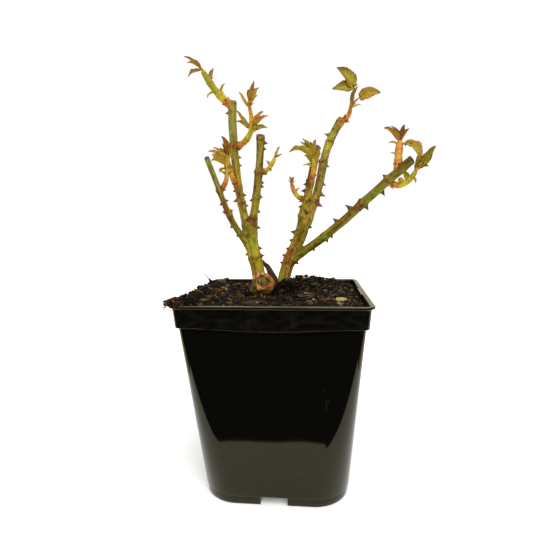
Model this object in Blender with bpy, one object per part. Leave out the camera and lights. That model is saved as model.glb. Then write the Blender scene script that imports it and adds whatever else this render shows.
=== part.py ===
"""Garden rose in a square nursery pot, pruned hard in spring and coming into new growth.

A thin-walled black pot holds the potting mix.  A swollen graft knob stands in the mix and
carries two thick green canes.  The canes fork into five boughs that all end in pruning cuts,
and ten young shoots with folded leaves grow from the boughs.  Metres, +Z up; the origin is
under the middle of the pot's flat underside, and -Y is the front.
"""
import math
import random

import bmesh
import bpy
from mathutils import Matrix, Vector

MM = 0.001
GAP = 0.35 * MM          # clear distance kept between touching pieces
SEED = 11

# ---------------------------------------------------------------- pot sizes
POT_HEIGHT = 195.6 * MM
WALL = 1.4 * MM
FLOOR = 1.6 * MM
FOOT_HALF = 71.4 * MM    # half widths of the square sections
FOOT_HEIGHT = 8.5 * MM
WALL_FOOT_HALF = 72.7 * MM
WALL_HEAD_HALF = 83.1 * MM
WALL_HEAD = 174.6 * MM
BAND_FOOT_HALF = 85.6 * MM
BAND_HEAD_HALF = 87.1 * MM
BAND_HEAD = 193.1 * MM
LIP_HALF = 90.0 * MM
FOOT_CORNER = 34.7 * MM  # corner radii of those sections
WALL_FOOT_CORNER = 35.3 * MM
HEAD_CORNER = 6.2 * MM
LIP_CORNER = 9.1 * MM
BULGE = 1.2 * MM         # the long flat sides swell a little under the mix
PANEL_HALF = 18.0 * MM   # half width of the sunk panel in the middle of each band side
PANEL_DEPTH = 1.1 * MM
CHANNEL_WIDE = 26.0 * MM
CHANNEL_NARROW = 18.0 * MM
CHANNEL_END = 15.0 * MM  # the channels stop this far from the middle of the underside
DRAIN_RADIUS = 5.0 * MM
DRAIN_OFFSET = 42.0 * MM

# ---------------------------------------------------------------- mix
MIX_LEVEL = 190.5 * MM
MIX_CLEAR = 0.4 * MM
STOCK_CUT = 187.0 * MM   # the stock is cut off flat here, just under the mix's surface

# ---------------------------------------------------------------- stock
# name: centre and radii of each swelling of the graft knob
STOCK_LOBES = {
    "knob": ((-12.4, -3.0, 201.2), (9.6, 9.6, 10.8)),
    "left_foot": ((-22.0, -1.0, 196.0), (8.0, 8.0, 10.5)),
    "bridge": ((-5.0, 6.5, 194.0), (9.5, 8.5, 8.0)),
    "right_foot": ((3.5, 12.5, 191.5), (9.0, 8.5, 8.0)),
    "crest": ((-14.5, 3.0, 206.0), (7.5, 6.5, 6.5)),
}

# ---------------------------------------------------------------- limbs
# Each limb runs from base to tip, pushed sideways by bow at half way and by sway to and fro.
# cut_by: the pieces that its foot is fitted to.  prune: lean of the cut at the tip, degrees.
# nodes: where old leaf joints swell the bark, as shares of the length.
# prickles: share of the length, angle round the limb from +X in degrees, and size; others are
# set on the front and back by a seeded rule.
LIMBS = {
    "left_cane": dict(
        base=(-19.5, -1.0, 202.0), tip=(-29.8, 4.0, 264.0), bow=(-0.5, 0.0, 0.0),
        sway=(0.8, 0.0, 0.0), radii=(6.7, 7.3), cut_by=("stock",), prune=0,
        nodes=(0.45, 0.85),
        prickles=((0.96, 7, 4.6), (0.59, 7, 3.6), (0.46, 7, 3.0), (0.37, 7, 2.8), (0.54, 189, 2.8))),
    "left_short_bough": dict(
        base=(-28.5, 3.6, 258.8), tip=(-13.8, -18.0, 351.0), bow=(2.0, 1.1, 0.0),
        sway=(0.0, 0.0, 0.0), radii=(4.7, 3.9), cut_by=("left_cane",), prune=12,
        nodes=(0.10, 0.36, 0.62, 0.97),
        prickles=((0.93, 6, 3.6), (0.87, 6, 2.6), (0.53, 6, 2.8), (0.49, 6, 3.2), (0.38, 6, 2.6),
                  (0.22, 6, 3.0), (0.33, 187, 2.6))),
    "left_tall_bough": dict(
        base=(-30.2, 4.0, 252.3), tip=(-52.1, 38.0, 400.0), bow=(-5.1, 0.2, -0.9),
        sway=(-0.3, 0.0, 0.0), radii=(4.5, 4.7), cut_by=("left_cane", "left_short_bough"),
        prune=20, nodes=(0.24, 0.36, 0.66, 0.98),
        prickles=((0.91, 192, 3.4), (0.58, 8, 3.2), (0.52, 7, 2.8), (0.30, 8, 3.4),
                  (0.27, 189, 4.6), (0.22, 5, 3.0), (0.34, 188, 2.8))),
    "left_thin_bough": dict(
        base=(-29.2, 3.1, 241.2), tip=(-63.2, -36.0, 328.0), bow=(-5.0, 2.1, -1.4),
        sway=(-1.1, 0.0, -0.6), radii=(3.9, 3.3), cut_by=("left_cane",), prune=18,
        nodes=(0.40, 0.66),
        prickles=((0.555, 12, 2.6), (0.54, 199, 2.6), (0.44, 18, 3.0), (0.46, 199, 2.6),
                  (0.29, 201, 2.6), (0.18, 203, 2.4))),
    "right_cane": dict(
        base=(3.0, 13.0, 193.0), tip=(29.6, 9.0, 277.4), bow=(-0.7, 0.0, 0.0),
        sway=(-1.9, 0.0, 0.6), radii=(6.9, 7.3), cut_by=("stock",), prune=0,
        nodes=(0.42, 0.93),
        prickles=((0.73, 182, 5.4), (0.62, 181, 3.4), (0.51, 181, 3.0), (0.42, 181, 3.0),
                  (0.40, 359, 4.2), (0.84, 358, 3.2), (0.33, 181, 2.8))),
    "low_right_bough": dict(
        base=(11.2, 11.5, 226.3), tip=(124.5, -44.4, 320.4), bow=(2.9, 2.4, -2.3),
        sway=(0.6, -0.1, -1.0), radii=(5.2, 4.4), cut_by=("right_cane",), prune=8,
        nodes=(0.30, 0.62, 0.83, 0.93),
        prickles=((0.43, 158, 5.0), (0.55, 159, 6.6), (0.83, 155, 3.2), (0.76, 334, 5.0),
                  (0.30, 335, 3.0), (0.34, 335, 3.0), (0.63, 334, 4.4), (0.19, 333, 2.6))),
    "right_outer_bough": dict(
        base=(29.5, 9.5, 267.4), tip=(68.3, 48.0, 379.0), bow=(-2.3, 0.4, 0.8),
        sway=(2.5, 0.0, -0.9), radii=(5.1, 4.6), cut_by=("right_cane",), prune=15,
        nodes=(0.20, 0.55, 0.75, 0.96),
        prickles=((0.53, 3, 2.8), (0.27, 5, 5.6), (0.18, 7, 6.0), (0.81, 192, 5.0), (0.36, 3, 3.4))),
    "right_inner_bough": dict(
        base=(28.0, 8.0, 269.6), tip=(41.1, -12.0, 339.5), bow=(-0.9, 0.3, 0.2),
        sway=(-0.3, 0.0, 0.0), radii=(4.3, 3.5), cut_by=("right_cane", "right_outer_bough"),
        prune=25, nodes=(0.28, 0.52, 0.90),
        prickles=((0.18, 181, 4.4), (0.49, 179, 2.6), (0.40, 180, 4.0))),
    "dead_stub": dict(
        base=(-3.5, 7.5, 200.0), tip=(-17.4, 11.0, 224.0), bow=(1.3, 0.0, 1.2),
        sway=(-0.5, 0.0, -0.4), radii=(4.7, 1.9), cut_by=("stock", "right_cane"), prune=35,
        nodes=(), prickles=()),
}

# ---------------------------------------------------------------- shoots
# host and at: the bough and the share of its length where the shoot breaks out.
# leaves: share of the stem, bearing and climb in degrees, reach in mm, arch, style.
SHOOTS = {
    "tall_bough_top_shoot": dict(
        host="left_tall_bough", at=0.960, tip=(-81.4, 25.5, 430.1), bow=(-2.2, 1.4, -2.2),
        radii=(5.4, 3.0),
        leaves=((1.0, -144, 30, 22, 0.08, "folded"), (1.0, 159, 32, 21, 0.10, "single"),
                (0.99, -148, -24, 19, 0.12, "single"), (0.71, 54, 62, 20, 0.04, "single"),
                (0.34, -58, 43, 12, 0.10, "scale"), (0.46, -141, -31, 15, 0.15, "scale"))),
    "tall_bough_middle_shoot": dict(
        host="left_tall_bough", at=0.655, tip=(-29.7, 9.5, 389.8), bow=(10.4, -3.7, -8.6),
        radii=(5.2, 2.3),
        leaves=((1.0, 54, 81, 24, 0.06, "folded"), (1.0, -39, 42, 19, -0.14, "slim"),
                (0.93, -130, 47, 18, -0.06, "single"), (0.93, 73, 51, 21, 0.06, "slim"),
                (0.58, -147, 50, 25, -0.05, "slim"), (0.56, 143, 33, 26, 0.06, "single"),
                (0.61, 40, 51, 24, 0.05, "folded"), (0.54, -26, 5, 20, 0.08, "folded"),
                (0.58, -44, 20, 26, 0.06, "single"), (0.39, -42, 24, 16, 0.06, "scale"))),
    "tall_bough_lower_shoot": dict(
        host="left_tall_bough", at=0.35, tip=(-51.3, 4.1, 334.4), bow=(-2.1, -1.6, -1.2),
        radii=(3.7, 2.3),
        leaves=((0.92, 147, 73, 28, 0.10, "folded"), (0.86, -135, 41, 22, 0.10, "folded"),
                (0.83, -163, 30, 24, 0.14, "folded"))),
    "thin_bough_shoot": dict(
        host="left_thin_bough", at=0.657, tip=(-47.7, -27.8, 323.8), bow=(4.0, 0.0, -1.4),
        radii=(3.2, 2.1),
        leaves=((0.97, -135, 11, 18, 0.12, "folded"), (0.86, -113, -20, 14, 0.10, "single"),
                (0.80, -54, 56, 18, 0.10, "single"), (0.95, 154, 40, 20, 0.12, "folded"))),
    "short_bough_shoot": dict(
        host="left_short_bough", at=0.618, tip=(-0.1, -17.2, 330.7), bow=(1.9, 0.0, -3.4),
        radii=(2.7, 2.1),
        leaves=((1.0, -51, 49, 12, 0.06, "single"), (0.97, 45, 24, 10, 0.05, "single"),
                (0.60, -106, 38, 9, 0.05, "scale"), (0.50, -61, -26, 8, 0.05, "scale"))),
    "inner_bough_shoot": dict(
        host="right_inner_bough", at=0.517, tip=(37.4, -21.5, 328.1), bow=(1.4, -0.3, -0.6),
        radii=(3.3, 2.4),
        leaves=((0.83, -146, 20, 29, 0.26, "folded"), (0.96, -152, 61, 21, 0.05, "folded"),
                (0.99, -78, 48, 20, 0.08, "folded"), (0.67, 137, 42, 21, 0.10, "single"),
                (0.63, -136, 10, 12, 0.10, "scale"), (0.90, -54, 37, 17, 0.06, "single"))),
    "inner_bough_bud": dict(
        host="right_inner_bough", at=0.278, tip=(15.4, -7.3, 305.9), bow=(-2.7, -0.7, -3.6),
        radii=(3.3, 2.8),
        leaves=((0.98, -102, 35, 11, 0.05, "single"), (0.98, 65, 50, 10, 0.05, "single"),
                (0.62, 30, 45, 8, 0.05, "scale"))),
    "outer_bough_shoot": dict(
        host="right_outer_bough", at=0.965, tip=(77.0, 41.2, 391.2), bow=(2.9, -0.1, -2.8),
        radii=(4.3, 2.2),
        leaves=((0.97, -163, 62, 48, 0.20, "open"), (0.94, -22, 12, 35, 0.12, "stalked"),
                (0.98, 55, 60, 28, 0.04, "slim"), (0.90, 20, 24, 12, 0.05, "scale"))),
    "low_bough_upper_shoot": dict(
        host="low_right_bough", at=0.895, tip=(115.3, -35.7, 338.7), bow=(-0.1, -0.6, 0.0),
        radii=(4.1, 3.4),
        leaves=((0.93, -151, 35, 22, 0.14, "folded"), (0.94, 44, 59, 20, 0.04, "folded"),
                (0.88, -41, -39, 26, 0.26, "broad"), (0.84, 160, 22, 10, 0.14, "scale"),
                (0.50, 178, 30, 8, 0.05, "scale"))),
    "low_bough_lower_shoot": dict(
        host="low_right_bough", at=0.820, tip=(128.9, -44.5, 311.9), bow=(1.4, 1.2, -7.9),
        radii=(3.1, 2.4),
        leaves=((0.98, -42, 42, 25, -0.06, "broad"), (0.96, 51, 51, 25, 0.06, "slim"),
                (0.46, -113, 29, 13, 0.05, "scale"), (0.66, 94, 54, 14, 0.05, "scale"),
                (0.83, -74, -38, 10, 0.05, "scale"))),
}

# petiole: share of the reach that is bare stalk.  spread: how far the side leaflets stand
# off.  sides: their sizes against the end leaflet.  fold: how far each half blade is lifted.
# face: how far the blade turns its upper side to the front, where the light comes from.
LEAF_STYLES = {
    "folded": dict(petiole=0.30, spread=27, sides=(0.75, 0.75), fold=50, width=0.72, face=24),
    "single": dict(petiole=0.24, spread=0, sides=(), fold=46, width=0.66, face=24),
    "open": dict(petiole=0.46, spread=84, sides=(0.42, 1.06), fold=18, width=0.86, face=68),
    "stalked": dict(petiole=0.42, spread=44, sides=(0.5, 0.4), fold=18, width=0.84, face=74),
    "broad": dict(petiole=0.24, spread=40, sides=(0.45, 0.45), fold=26, width=0.70, face=45),
    "slim": dict(petiole=0.30, spread=0, sides=(), fold=55, width=0.45, face=10),
    "scale": dict(petiole=0.10, spread=0, sides=(), fold=30, width=0.60, face=0),
}

COLOURS = {
    "pot": (0.012, 0.012, 0.012, 1.0),
    "mix": (0.030, 0.019, 0.012, 1.0),
    "stock": (0.330, 0.185, 0.080, 1.0),
    "cane": (0.170, 0.180, 0.035, 1.0),
    "dead": (0.060, 0.035, 0.022, 1.0),
    "shoot": (0.300, 0.240, 0.030, 1.0),
}


# ---------------------------------------------------------------- scene helpers
def clear_scene():
    for obj in list(bpy.data.objects):
        bpy.data.objects.remove(obj, do_unlink=True)


def new_collection(name):
    coll = bpy.data.collections.new(name)
    bpy.context.scene.collection.children.link(coll)
    return coll


def new_material(name, colour, roughness):
    mat = bpy.data.materials.new(name)
    mat.use_nodes = True
    shader = mat.node_tree.nodes["Principled BSDF"]
    shader.inputs["Base Color"].default_value = colour
    shader.inputs["Roughness"].default_value = roughness
    shader.inputs["Metallic"].default_value = 0.0
    mat.diffuse_color = colour
    return mat


def object_from_bmesh(name, bm, coll):
    mesh = bpy.data.meshes.new(name)
    bm.to_mesh(mesh)
    bm.free()
    obj = bpy.data.objects.new(name, mesh)
    coll.objects.link(obj)
    return obj


def apply_modifiers(obj):
    """Turn the evaluated shape into the object's own mesh."""
    graph = bpy.context.evaluated_depsgraph_get()
    mesh = bpy.data.meshes.new_from_object(obj.evaluated_get(graph))
    obj.modifiers.clear()
    obj.data = mesh
    return obj


def bodies_of(bm):
    """The separate bodies of a mesh as lists of points, biggest first."""
    seen = set()
    bodies = []
    for start in bm.verts:
        if start in seen:
            continue
        body = []
        stack = [start]
        seen.add(start)
        while stack:
            vert = stack.pop()
            body.append(vert)
            for edge in vert.link_edges:
                other = edge.other_vert(vert)
                if other not in seen:
                    seen.add(other)
                    stack.append(other)
        bodies.append(body)
    return sorted(bodies, key=len, reverse=True)


def tidy(obj):
    """Weld stray points where that keeps the skin closed, and keep the one main body."""
    for merge in (0.001 * MM, 0.0001 * MM, 0.0):
        bm = bmesh.new()
        bm.from_mesh(obj.data)
        if merge:
            bmesh.ops.remove_doubles(bm, verts=bm.verts, dist=merge)
            bmesh.ops.dissolve_degenerate(bm, edges=bm.edges, dist=merge)
        for scrap in bodies_of(bm)[1:]:
            bmesh.ops.delete(bm, geom=scrap, context="VERTS")
        closed = all(len(e.link_faces) == 2 for e in bm.edges)
        if closed or not merge:
            bmesh.ops.recalc_face_normals(bm, faces=bm.faces)
            bm.to_mesh(obj.data)
        bm.free()
        if closed:
            return True
    return False


def solve(obj, add_modifiers):
    """Apply Boolean modifiers with EXACT, and with MANIFOLD where that leaves a gap."""
    start = obj.data.copy()
    for solver in ("EXACT", "MANIFOLD"):
        obj.data = start.copy()
        add_modifiers(obj, solver)
        apply_modifiers(obj)
        if tidy(obj):
            break
    return obj


def boolean(obj, operation, cutters):
    """Cut or join an object with each cutter in turn, then remove the cutters."""
    def add(target, solver):
        for cutter in cutters:
            mod = target.modifiers.new(operation.lower(), "BOOLEAN")
            mod.operation = operation
            mod.object = cutter
            mod.solver = solver

    solve(obj, add)
    for cutter in cutters:
        bpy.data.objects.remove(cutter, do_unlink=True)
    return obj


def fuse(obj, pieces):
    """Join an object with everything in a collection by one union."""
    def add(target, solver):
        mod = target.modifiers.new("fuse", "BOOLEAN")
        mod.operation = "UNION"
        mod.operand_type = "COLLECTION"
        mod.collection = pieces
        mod.solver = solver

    solve(obj, add)
    for piece in list(pieces.objects):
        bpy.data.objects.remove(piece, do_unlink=True)
    bpy.data.collections.remove(pieces)
    return obj


def loft(name, rings, coll):
    """Close a solid over rings of equal count, first ring at the bottom."""
    bm = bmesh.new()
    loops = [[bm.verts.new(p) for p in ring] for ring in rings]
    count = len(loops[0])
    for low, high in zip(loops, loops[1:]):
        for i in range(count):
            j = (i + 1) % count
            bm.faces.new((low[i], low[j], high[j], high[i]))
    bm.faces.new(list(reversed(loops[0])))
    bm.faces.new(loops[-1])
    bmesh.ops.recalc_face_normals(bm, faces=bm.faces)
    return object_from_bmesh(name, bm, coll)


# ---------------------------------------------------------------- pot
def square_ring(z, half, corner, bulge=0.0, sunk=0.0, steps=4):
    """A rounded square whose flat sides may swell and whose side middles may be sunk."""
    ring = []
    flat = half - corner
    along = (-0.72 * flat, -PANEL_HALF - 1.5 * MM, -PANEL_HALF,
             PANEL_HALF, PANEL_HALF + 1.5 * MM, 0.72 * flat)
    for side in range(4):
        turn = Matrix.Rotation(math.radians(90.0 * side), 3, "Z")
        for u in along:
            out = half + bulge * (1.0 - (u / half) ** 2)
            if abs(u) <= PANEL_HALF:
                out -= sunk
            ring.append(turn @ Vector((u, -out, z)))
        for k in range(steps + 1):
            a = math.radians(-90.0 + 90.0 * k / steps)
            ring.append(turn @ Vector((flat + corner * math.cos(a),
                                       -flat + corner * math.sin(a), z)))
    return ring


def wall_section(share):
    """Half width, corner radius and bulge of the plain wall, share 0 at its foot."""
    half = WALL_FOOT_HALF + (WALL_HEAD_HALF - WALL_FOOT_HALF) * share
    corner = WALL_FOOT_CORNER + (HEAD_CORNER - WALL_FOOT_CORNER) * share
    return half, corner, BULGE * math.sin(math.pi * share)


def pot_rows(inset, lift):
    """Sections of the pot's skin moved in by inset, its steps raised by lift."""
    rows = [(FOOT_HEIGHT + lift - 0.2 * MM, FOOT_HALF, FOOT_CORNER, 0.0, 0.0)]
    for k in range(5):
        share = k / 4.0
        half, corner, bulge = wall_section(share)
        z = FOOT_HEIGHT + lift + (WALL_HEAD - FOOT_HEIGHT) * share
        rows.append((z, half, corner, bulge, 0.0))
    z = WALL_HEAD + lift + 0.3 * MM
    rows.append((z, BAND_FOOT_HALF, HEAD_CORNER, 0.0, PANEL_DEPTH))
    rows.append((BAND_HEAD, BAND_HEAD_HALF, HEAD_CORNER, 0.0, PANEL_DEPTH))
    return [(z, half - inset, max(corner - inset, 2.0 * MM), bulge, sunk)
            for z, half, corner, bulge, sunk in rows]


def channel_prism(name, grow, coll):
    """One drainage channel under the front side, tapering toward the middle."""
    wide = 0.5 * CHANNEL_WIDE + grow
    narrow = 0.5 * CHANNEL_NARROW + grow
    far = -100.0 * MM
    near = -CHANNEL_END + grow
    top = FOOT_HEIGHT + grow
    low = -5.0 * MM
    outline = ((-wide, far), (wide, far), (wide, -FOOT_HALF), (narrow, near),
               (-narrow, near), (-wide, -FOOT_HALF))
    ring = [[Vector((x, y, z)) for x, y in outline] for z in (low, top)]
    return loft(name, ring, coll)


def four_ways(maker, name, grow, coll):
    made = []
    for side in range(4):
        obj = maker(name + str(side), grow, coll)
        obj.data.transform(Matrix.Rotation(math.radians(90.0 * side), 4, "Z"))
        made.append(obj)
    return made


def make_pot(coll, tools):
    outer = [square_ring(0.0, FOOT_HALF - 0.8 * MM, FOOT_CORNER - 0.8 * MM),
             square_ring(0.8 * MM, FOOT_HALF, FOOT_CORNER)]
    outer += [square_ring(*row) for row in pot_rows(0.0, 0.0)]
    outer += [square_ring(BAND_HEAD + 0.2 * MM, LIP_HALF, LIP_CORNER),
              square_ring(POT_HEIGHT, LIP_HALF, LIP_CORNER)]
    pot = loft("pot", outer, coll)

    inside = [square_ring(FLOOR, FOOT_HALF - WALL, FOOT_CORNER - WALL)]
    inside += [square_ring(*row) for row in pot_rows(WALL, WALL)]
    top = pot_rows(WALL, WALL)[-1]
    inside += [square_ring(POT_HEIGHT + 5.0 * MM, *top[1:])]
    cavity = loft("pot_cavity", inside, tools)
    boolean(cavity, "DIFFERENCE", four_ways(channel_prism, "pot_hump", WALL, tools))

    drains = []
    for sx in (-1, 1):
        for sy in (-1, 1):
            bm = bmesh.new()
            bmesh.ops.create_cone(bm, cap_ends=True, segments=16, radius1=DRAIN_RADIUS,
                                  radius2=DRAIN_RADIUS, depth=10.0 * MM)
            drain = object_from_bmesh("pot_drain", bm, tools)
            drain.data.transform(Matrix.Translation((sx * DRAIN_OFFSET, sy * DRAIN_OFFSET,
                                                     0.0)))
            drains.append(drain)
    cutters = [cavity] + four_ways(channel_prism, "pot_channel", 0.0, tools) + drains
    return boolean(pot, "DIFFERENCE", cutters)


# ---------------------------------------------------------------- mix
def mix_height(x, y):
    """Surface of the potting mix: heaped on the left and at the back, low on the right."""
    left = math.exp(-((x + 79.0 * MM) / (17.0 * MM)) ** 2)
    left *= 0.55 + 0.45 / (1.0 + math.exp((y - 30.0 * MM) / (14.0 * MM)))
    back = math.exp(-((x - 32.0 * MM) / (38.0 * MM)) ** 2 - ((y - 74.0 * MM) / (15.0 * MM)) ** 2)
    right = math.exp(-((x - 82.0 * MM) / (16.0 * MM)) ** 2)
    mound = math.exp(-((x - 12.0 * MM) / (17.0 * MM)) ** 2 - ((y - 10.0 * MM) / (17.0 * MM)) ** 2)
    crumbs = math.sin(x * 310.0 + 1.3) * math.sin(y * 270.0 + 0.4)
    crumbs += 0.7 * math.sin(x * 170.0 - y * 230.0 + 2.1)
    edge = max(abs(x), abs(y))
    shed = max(0.0, (edge - 80.0 * MM) / (6.0 * MM))
    rise = 13.5 * left + 13.5 * back - 3.5 * right + 5.0 * mound + 1.1 * crumbs
    return MIX_LEVEL + MM * (rise - 3.0 * shed * (left + back))


def make_mix(coll, tools):
    rows = pot_rows(WALL + MIX_CLEAR, WALL + MIX_CLEAR)
    rows.insert(0, (FLOOR + MIX_CLEAR,) + rows[0][1:])
    top = rows.pop()
    rings = [square_ring(*row) for row in rows]
    rim = square_ring(186.0 * MM, top[1] - 0.6 * MM, top[2], 0.0, PANEL_DEPTH)
    rings.append(rim)
    for scale in (1.0, 0.93, 0.83, 0.71, 0.57, 0.42, 0.26, 0.10):
        ring = []
        for p in rim:
            x = p.x * scale
            y = p.y * scale
            ring.append(Vector((x, y, mix_height(x, y))))
        rings.append(ring)
    mix = loft("potting_mix", rings, coll)

    bm = bmesh.new()
    bmesh.ops.create_icosphere(bm, subdivisions=2, radius=1.0)
    for vert in bm.verts:
        knot = 1.0 + 0.10 * math.sin(4.0 * vert.co.x + 3.0 * vert.co.z + 1.0)
        vert.co = Vector((-84.6 + 9.8 * vert.co.x * knot, -80.5 + 13.0 * vert.co.y * knot,
                          196.0 + 5.8 * vert.co.z * knot)) * MM
    clump = object_from_bmesh("mix_clump", bm, tools)
    grown = [square_ring(150.0 * MM, LIP_HALF + GAP, LIP_CORNER + GAP),
             square_ring(POT_HEIGHT + GAP, LIP_HALF + GAP, LIP_CORNER + GAP)]
    boolean(clump, "DIFFERENCE", [loft("rim_room", grown, tools)])
    boolean(mix, "UNION", [clump])
    humps = four_ways(channel_prism, "mix_hump", WALL + MIX_CLEAR, tools)
    return boolean(mix, "DIFFERENCE", humps + [stock_body("mix_pocket", GAP, tools)])


# ---------------------------------------------------------------- stock and limbs
def vec(triple):
    return Vector(triple) * MM


def stock_body(name, grow, coll):
    """The graft knob: overlapping swellings joined, and cut flat at the bottom."""
    parts = []
    for lobe, (centre, radii) in STOCK_LOBES.items():
        bm = bmesh.new()
        bmesh.ops.create_icosphere(bm, subdivisions=2, radius=1.0)
        for vert in bm.verts:
            fold = 0.0
            if lobe == "knob":
                fold = 0.5 * MM * math.sin(5.0 * math.atan2(vert.co.y, vert.co.x) + 2.0 * vert.co.z)
            size = Vector([r * MM + grow for r in radii])
            unit = vert.co.copy()
            vert.co = Vector([a * b for a, b in zip(unit, size)]) + unit * fold + vec(centre)
        parts.append(object_from_bmesh(name + "_" + lobe, bm, coll))
    body = boolean(parts[0], "UNION", parts[1:])
    bm = bmesh.new()
    bm.from_mesh(body.data)
    level = Vector((0.0, 0.0, STOCK_CUT - grow))
    geom = bm.verts[:] + bm.edges[:] + bm.faces[:]
    bmesh.ops.bisect_plane(bm, geom=geom, plane_co=level, plane_no=Vector((0.0, 0.0, -1.0)),
                           clear_outer=True)
    bmesh.ops.holes_fill(bm, edges=[e for e in bm.edges if e.is_boundary], sides=0)
    bmesh.ops.recalc_face_normals(bm, faces=bm.faces)
    bm.to_mesh(body.data)
    bm.free()
    body.name = name
    return body


def limb_point(limb, t):
    base = vec(limb["base"])
    tip = vec(limb["tip"])
    bow = vec(limb["bow"])
    sway = vec(limb.get("sway", (0.0, 0.0, 0.0)))
    return base.lerp(tip, t) + bow * (4.0 * t * (1.0 - t)) + sway * math.sin(2.0 * math.pi * t)


def limb_radius(limb, t):
    """Taper from base to tip, with a low swelling at each node."""
    low, high = limb["radii"]
    length = (vec(limb["tip"]) - vec(limb["base"])).length
    r = (low + (high - low) * t) * MM
    for node in limb.get("nodes", ()):
        r += 0.11 * low * MM * math.exp(-((t - node) * length / (3.5 * MM)) ** 2)
    return r


def frame_at(limb, t):
    """Unit vector along the limb, and two across it; the first across faces +X."""
    ahead = (limb_point(limb, t + 0.01) - limb_point(limb, t - 0.01)).normalized()
    side = Vector((1.0, 0.0, 0.0))
    side = (side - ahead * side.dot(ahead)).normalized()
    return ahead, side, ahead.cross(side)


def tube(name, points, radii, resolution, coll):
    """A capped tube through the points with its own radius at each of them."""
    curve = bpy.data.curves.new(name, "CURVE")
    curve.dimensions = "3D"
    curve.bevel_depth = 1.0 * MM
    curve.bevel_resolution = resolution
    curve.use_fill_caps = True
    spline = curve.splines.new("POLY")
    spline.points.add(len(points) - 1)
    for point, p, r in zip(spline.points, points, radii):
        point.co = (p.x, p.y, p.z, 1.0)
        point.radius = r / MM
    guide = bpy.data.objects.new(name + "_guide", curve)
    coll.objects.link(guide)
    graph = bpy.context.evaluated_depsgraph_get()
    mesh = bpy.data.meshes.new_from_object(guide.evaluated_get(graph))
    bm = bmesh.new()
    bm.from_mesh(mesh)
    bm.transform(guide.matrix_world)
    bmesh.ops.remove_doubles(bm, verts=bm.verts, dist=0.005 * MM)
    bmesh.ops.recalc_face_normals(bm, faces=bm.faces)
    bpy.data.objects.remove(guide, do_unlink=True)
    bpy.data.meshes.remove(mesh)
    bpy.data.curves.remove(curve)
    return object_from_bmesh(name, bm, coll)


def limb_tube(name, limb, grow, coll):
    """The plain body of a limb; a grown one is the room it needs in its neighbours."""
    length = (vec(limb["tip"]) - vec(limb["base"])).length
    steps = max(4, round(length / (9.0 * MM)))
    ts = [k / steps for k in range(steps + 1)]
    over = grow / length
    if limb["prune"]:
        over += 0.6 * limb["radii"][1] * MM / length
    ts[0] -= grow / length
    ts[-1] += over
    points = [limb_point(limb, t) for t in ts]
    radii = [limb_radius(limb, t) + grow * 1.09 for t in ts]
    return tube(name, points, radii, 2, coll)


def prune(obj, limb):
    """Slice the tip off on a slant, as secateurs do."""
    if not limb["prune"]:
        return
    ahead, side, back = frame_at(limb, 1.0)
    lean = math.radians(limb["prune"])
    normal = (ahead * math.cos(lean) + (side * 0.4 - back * 0.9) * math.sin(lean)).normalized()
    bm = bmesh.new()
    bm.from_mesh(obj.data)
    geom = bm.verts[:] + bm.edges[:] + bm.faces[:]
    bmesh.ops.bisect_plane(bm, geom=geom, plane_co=limb_point(limb, 1.0), plane_no=normal,
                           clear_outer=True)
    bmesh.ops.holes_fill(bm, edges=[e for e in bm.edges if e.is_boundary], sides=0)
    bmesh.ops.recalc_face_normals(bm, faces=bm.faces)
    bm.to_mesh(obj.data)
    bm.free()


def prickle(name, limb, t, angle, size, coll):
    """A hooked thorn: a four-sided spike, long at its root and bent down the stem."""
    ahead, side, back = frame_at(limb, t)
    a = math.radians(angle)
    out = side * math.cos(a) + back * math.sin(a)
    across = ahead.cross(out)
    foot = limb_point(limb, t) + out * (limb_radius(limb, t) - 0.9 * MM)
    bm = bmesh.new()
    half = 1.0 * MM + 0.35 * size
    ring = [bm.verts.new(foot + ahead * half), bm.verts.new(foot + across * (0.42 * half)),
            bm.verts.new(foot - ahead * half), bm.verts.new(foot - across * (0.42 * half))]
    apex = bm.verts.new(foot + out * (size + 0.9 * MM) - ahead * (0.30 * half))
    for i in range(4):
        bm.faces.new((ring[i], ring[(i + 1) % 4], apex))
    bm.faces.new(list(reversed(ring)))
    bmesh.ops.recalc_face_normals(bm, faces=bm.faces)
    return object_from_bmesh(name, bm, coll)


def shoot_stem(name):
    """A shoot's stem in the same terms as a limb, starting on its host's midline."""
    spec = SHOOTS[name]
    base = limb_point(LIMBS[spec["host"]], spec["at"]) / MM
    return dict(base=tuple(base), tip=spec["tip"], bow=spec["bow"], radii=spec["radii"],
                nodes=(0.35, 0.7), prune=0)


def beside_shoot(point, margin):
    """True where a point on the bark lies against the stem of a shoot."""
    for name in SHOOTS:
        stem = shoot_stem(name)
        for k in range(13):
            t = k / 12.0
            if (limb_point(stem, t) - point).length < limb_radius(stem, t) + margin:
                return True
    return False


def prickle_rows(name):
    """The listed prickles of a limb, and more on its front and back every 28 mm or so."""
    limb = LIMBS[name]
    rng = random.Random(SEED + len(name))
    rows = list(limb["prickles"])
    length = (vec(limb["tip"]) - vec(limb["base"])).length
    count = round(length / (28.0 * MM))
    for k in range(count):
        t = 0.16 + 0.76 * (k + rng.uniform(0.2, 0.8)) / count
        angle = rng.uniform(60, 125) + 180 * (k % 2)
        rows.append((t, angle, rng.uniform(2.6, 4.0)))
    kept = []
    for t, angle, size in rows:
        ahead, side, back = frame_at(limb, t)
        a = math.radians(angle)
        out = side * math.cos(a) + back * math.sin(a)
        tip = limb_point(limb, t) + out * (limb_radius(limb, t) + size * MM)
        if not beside_shoot(tip, 3.0 * MM):
            kept.append((t, angle, size))
    return kept


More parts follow.
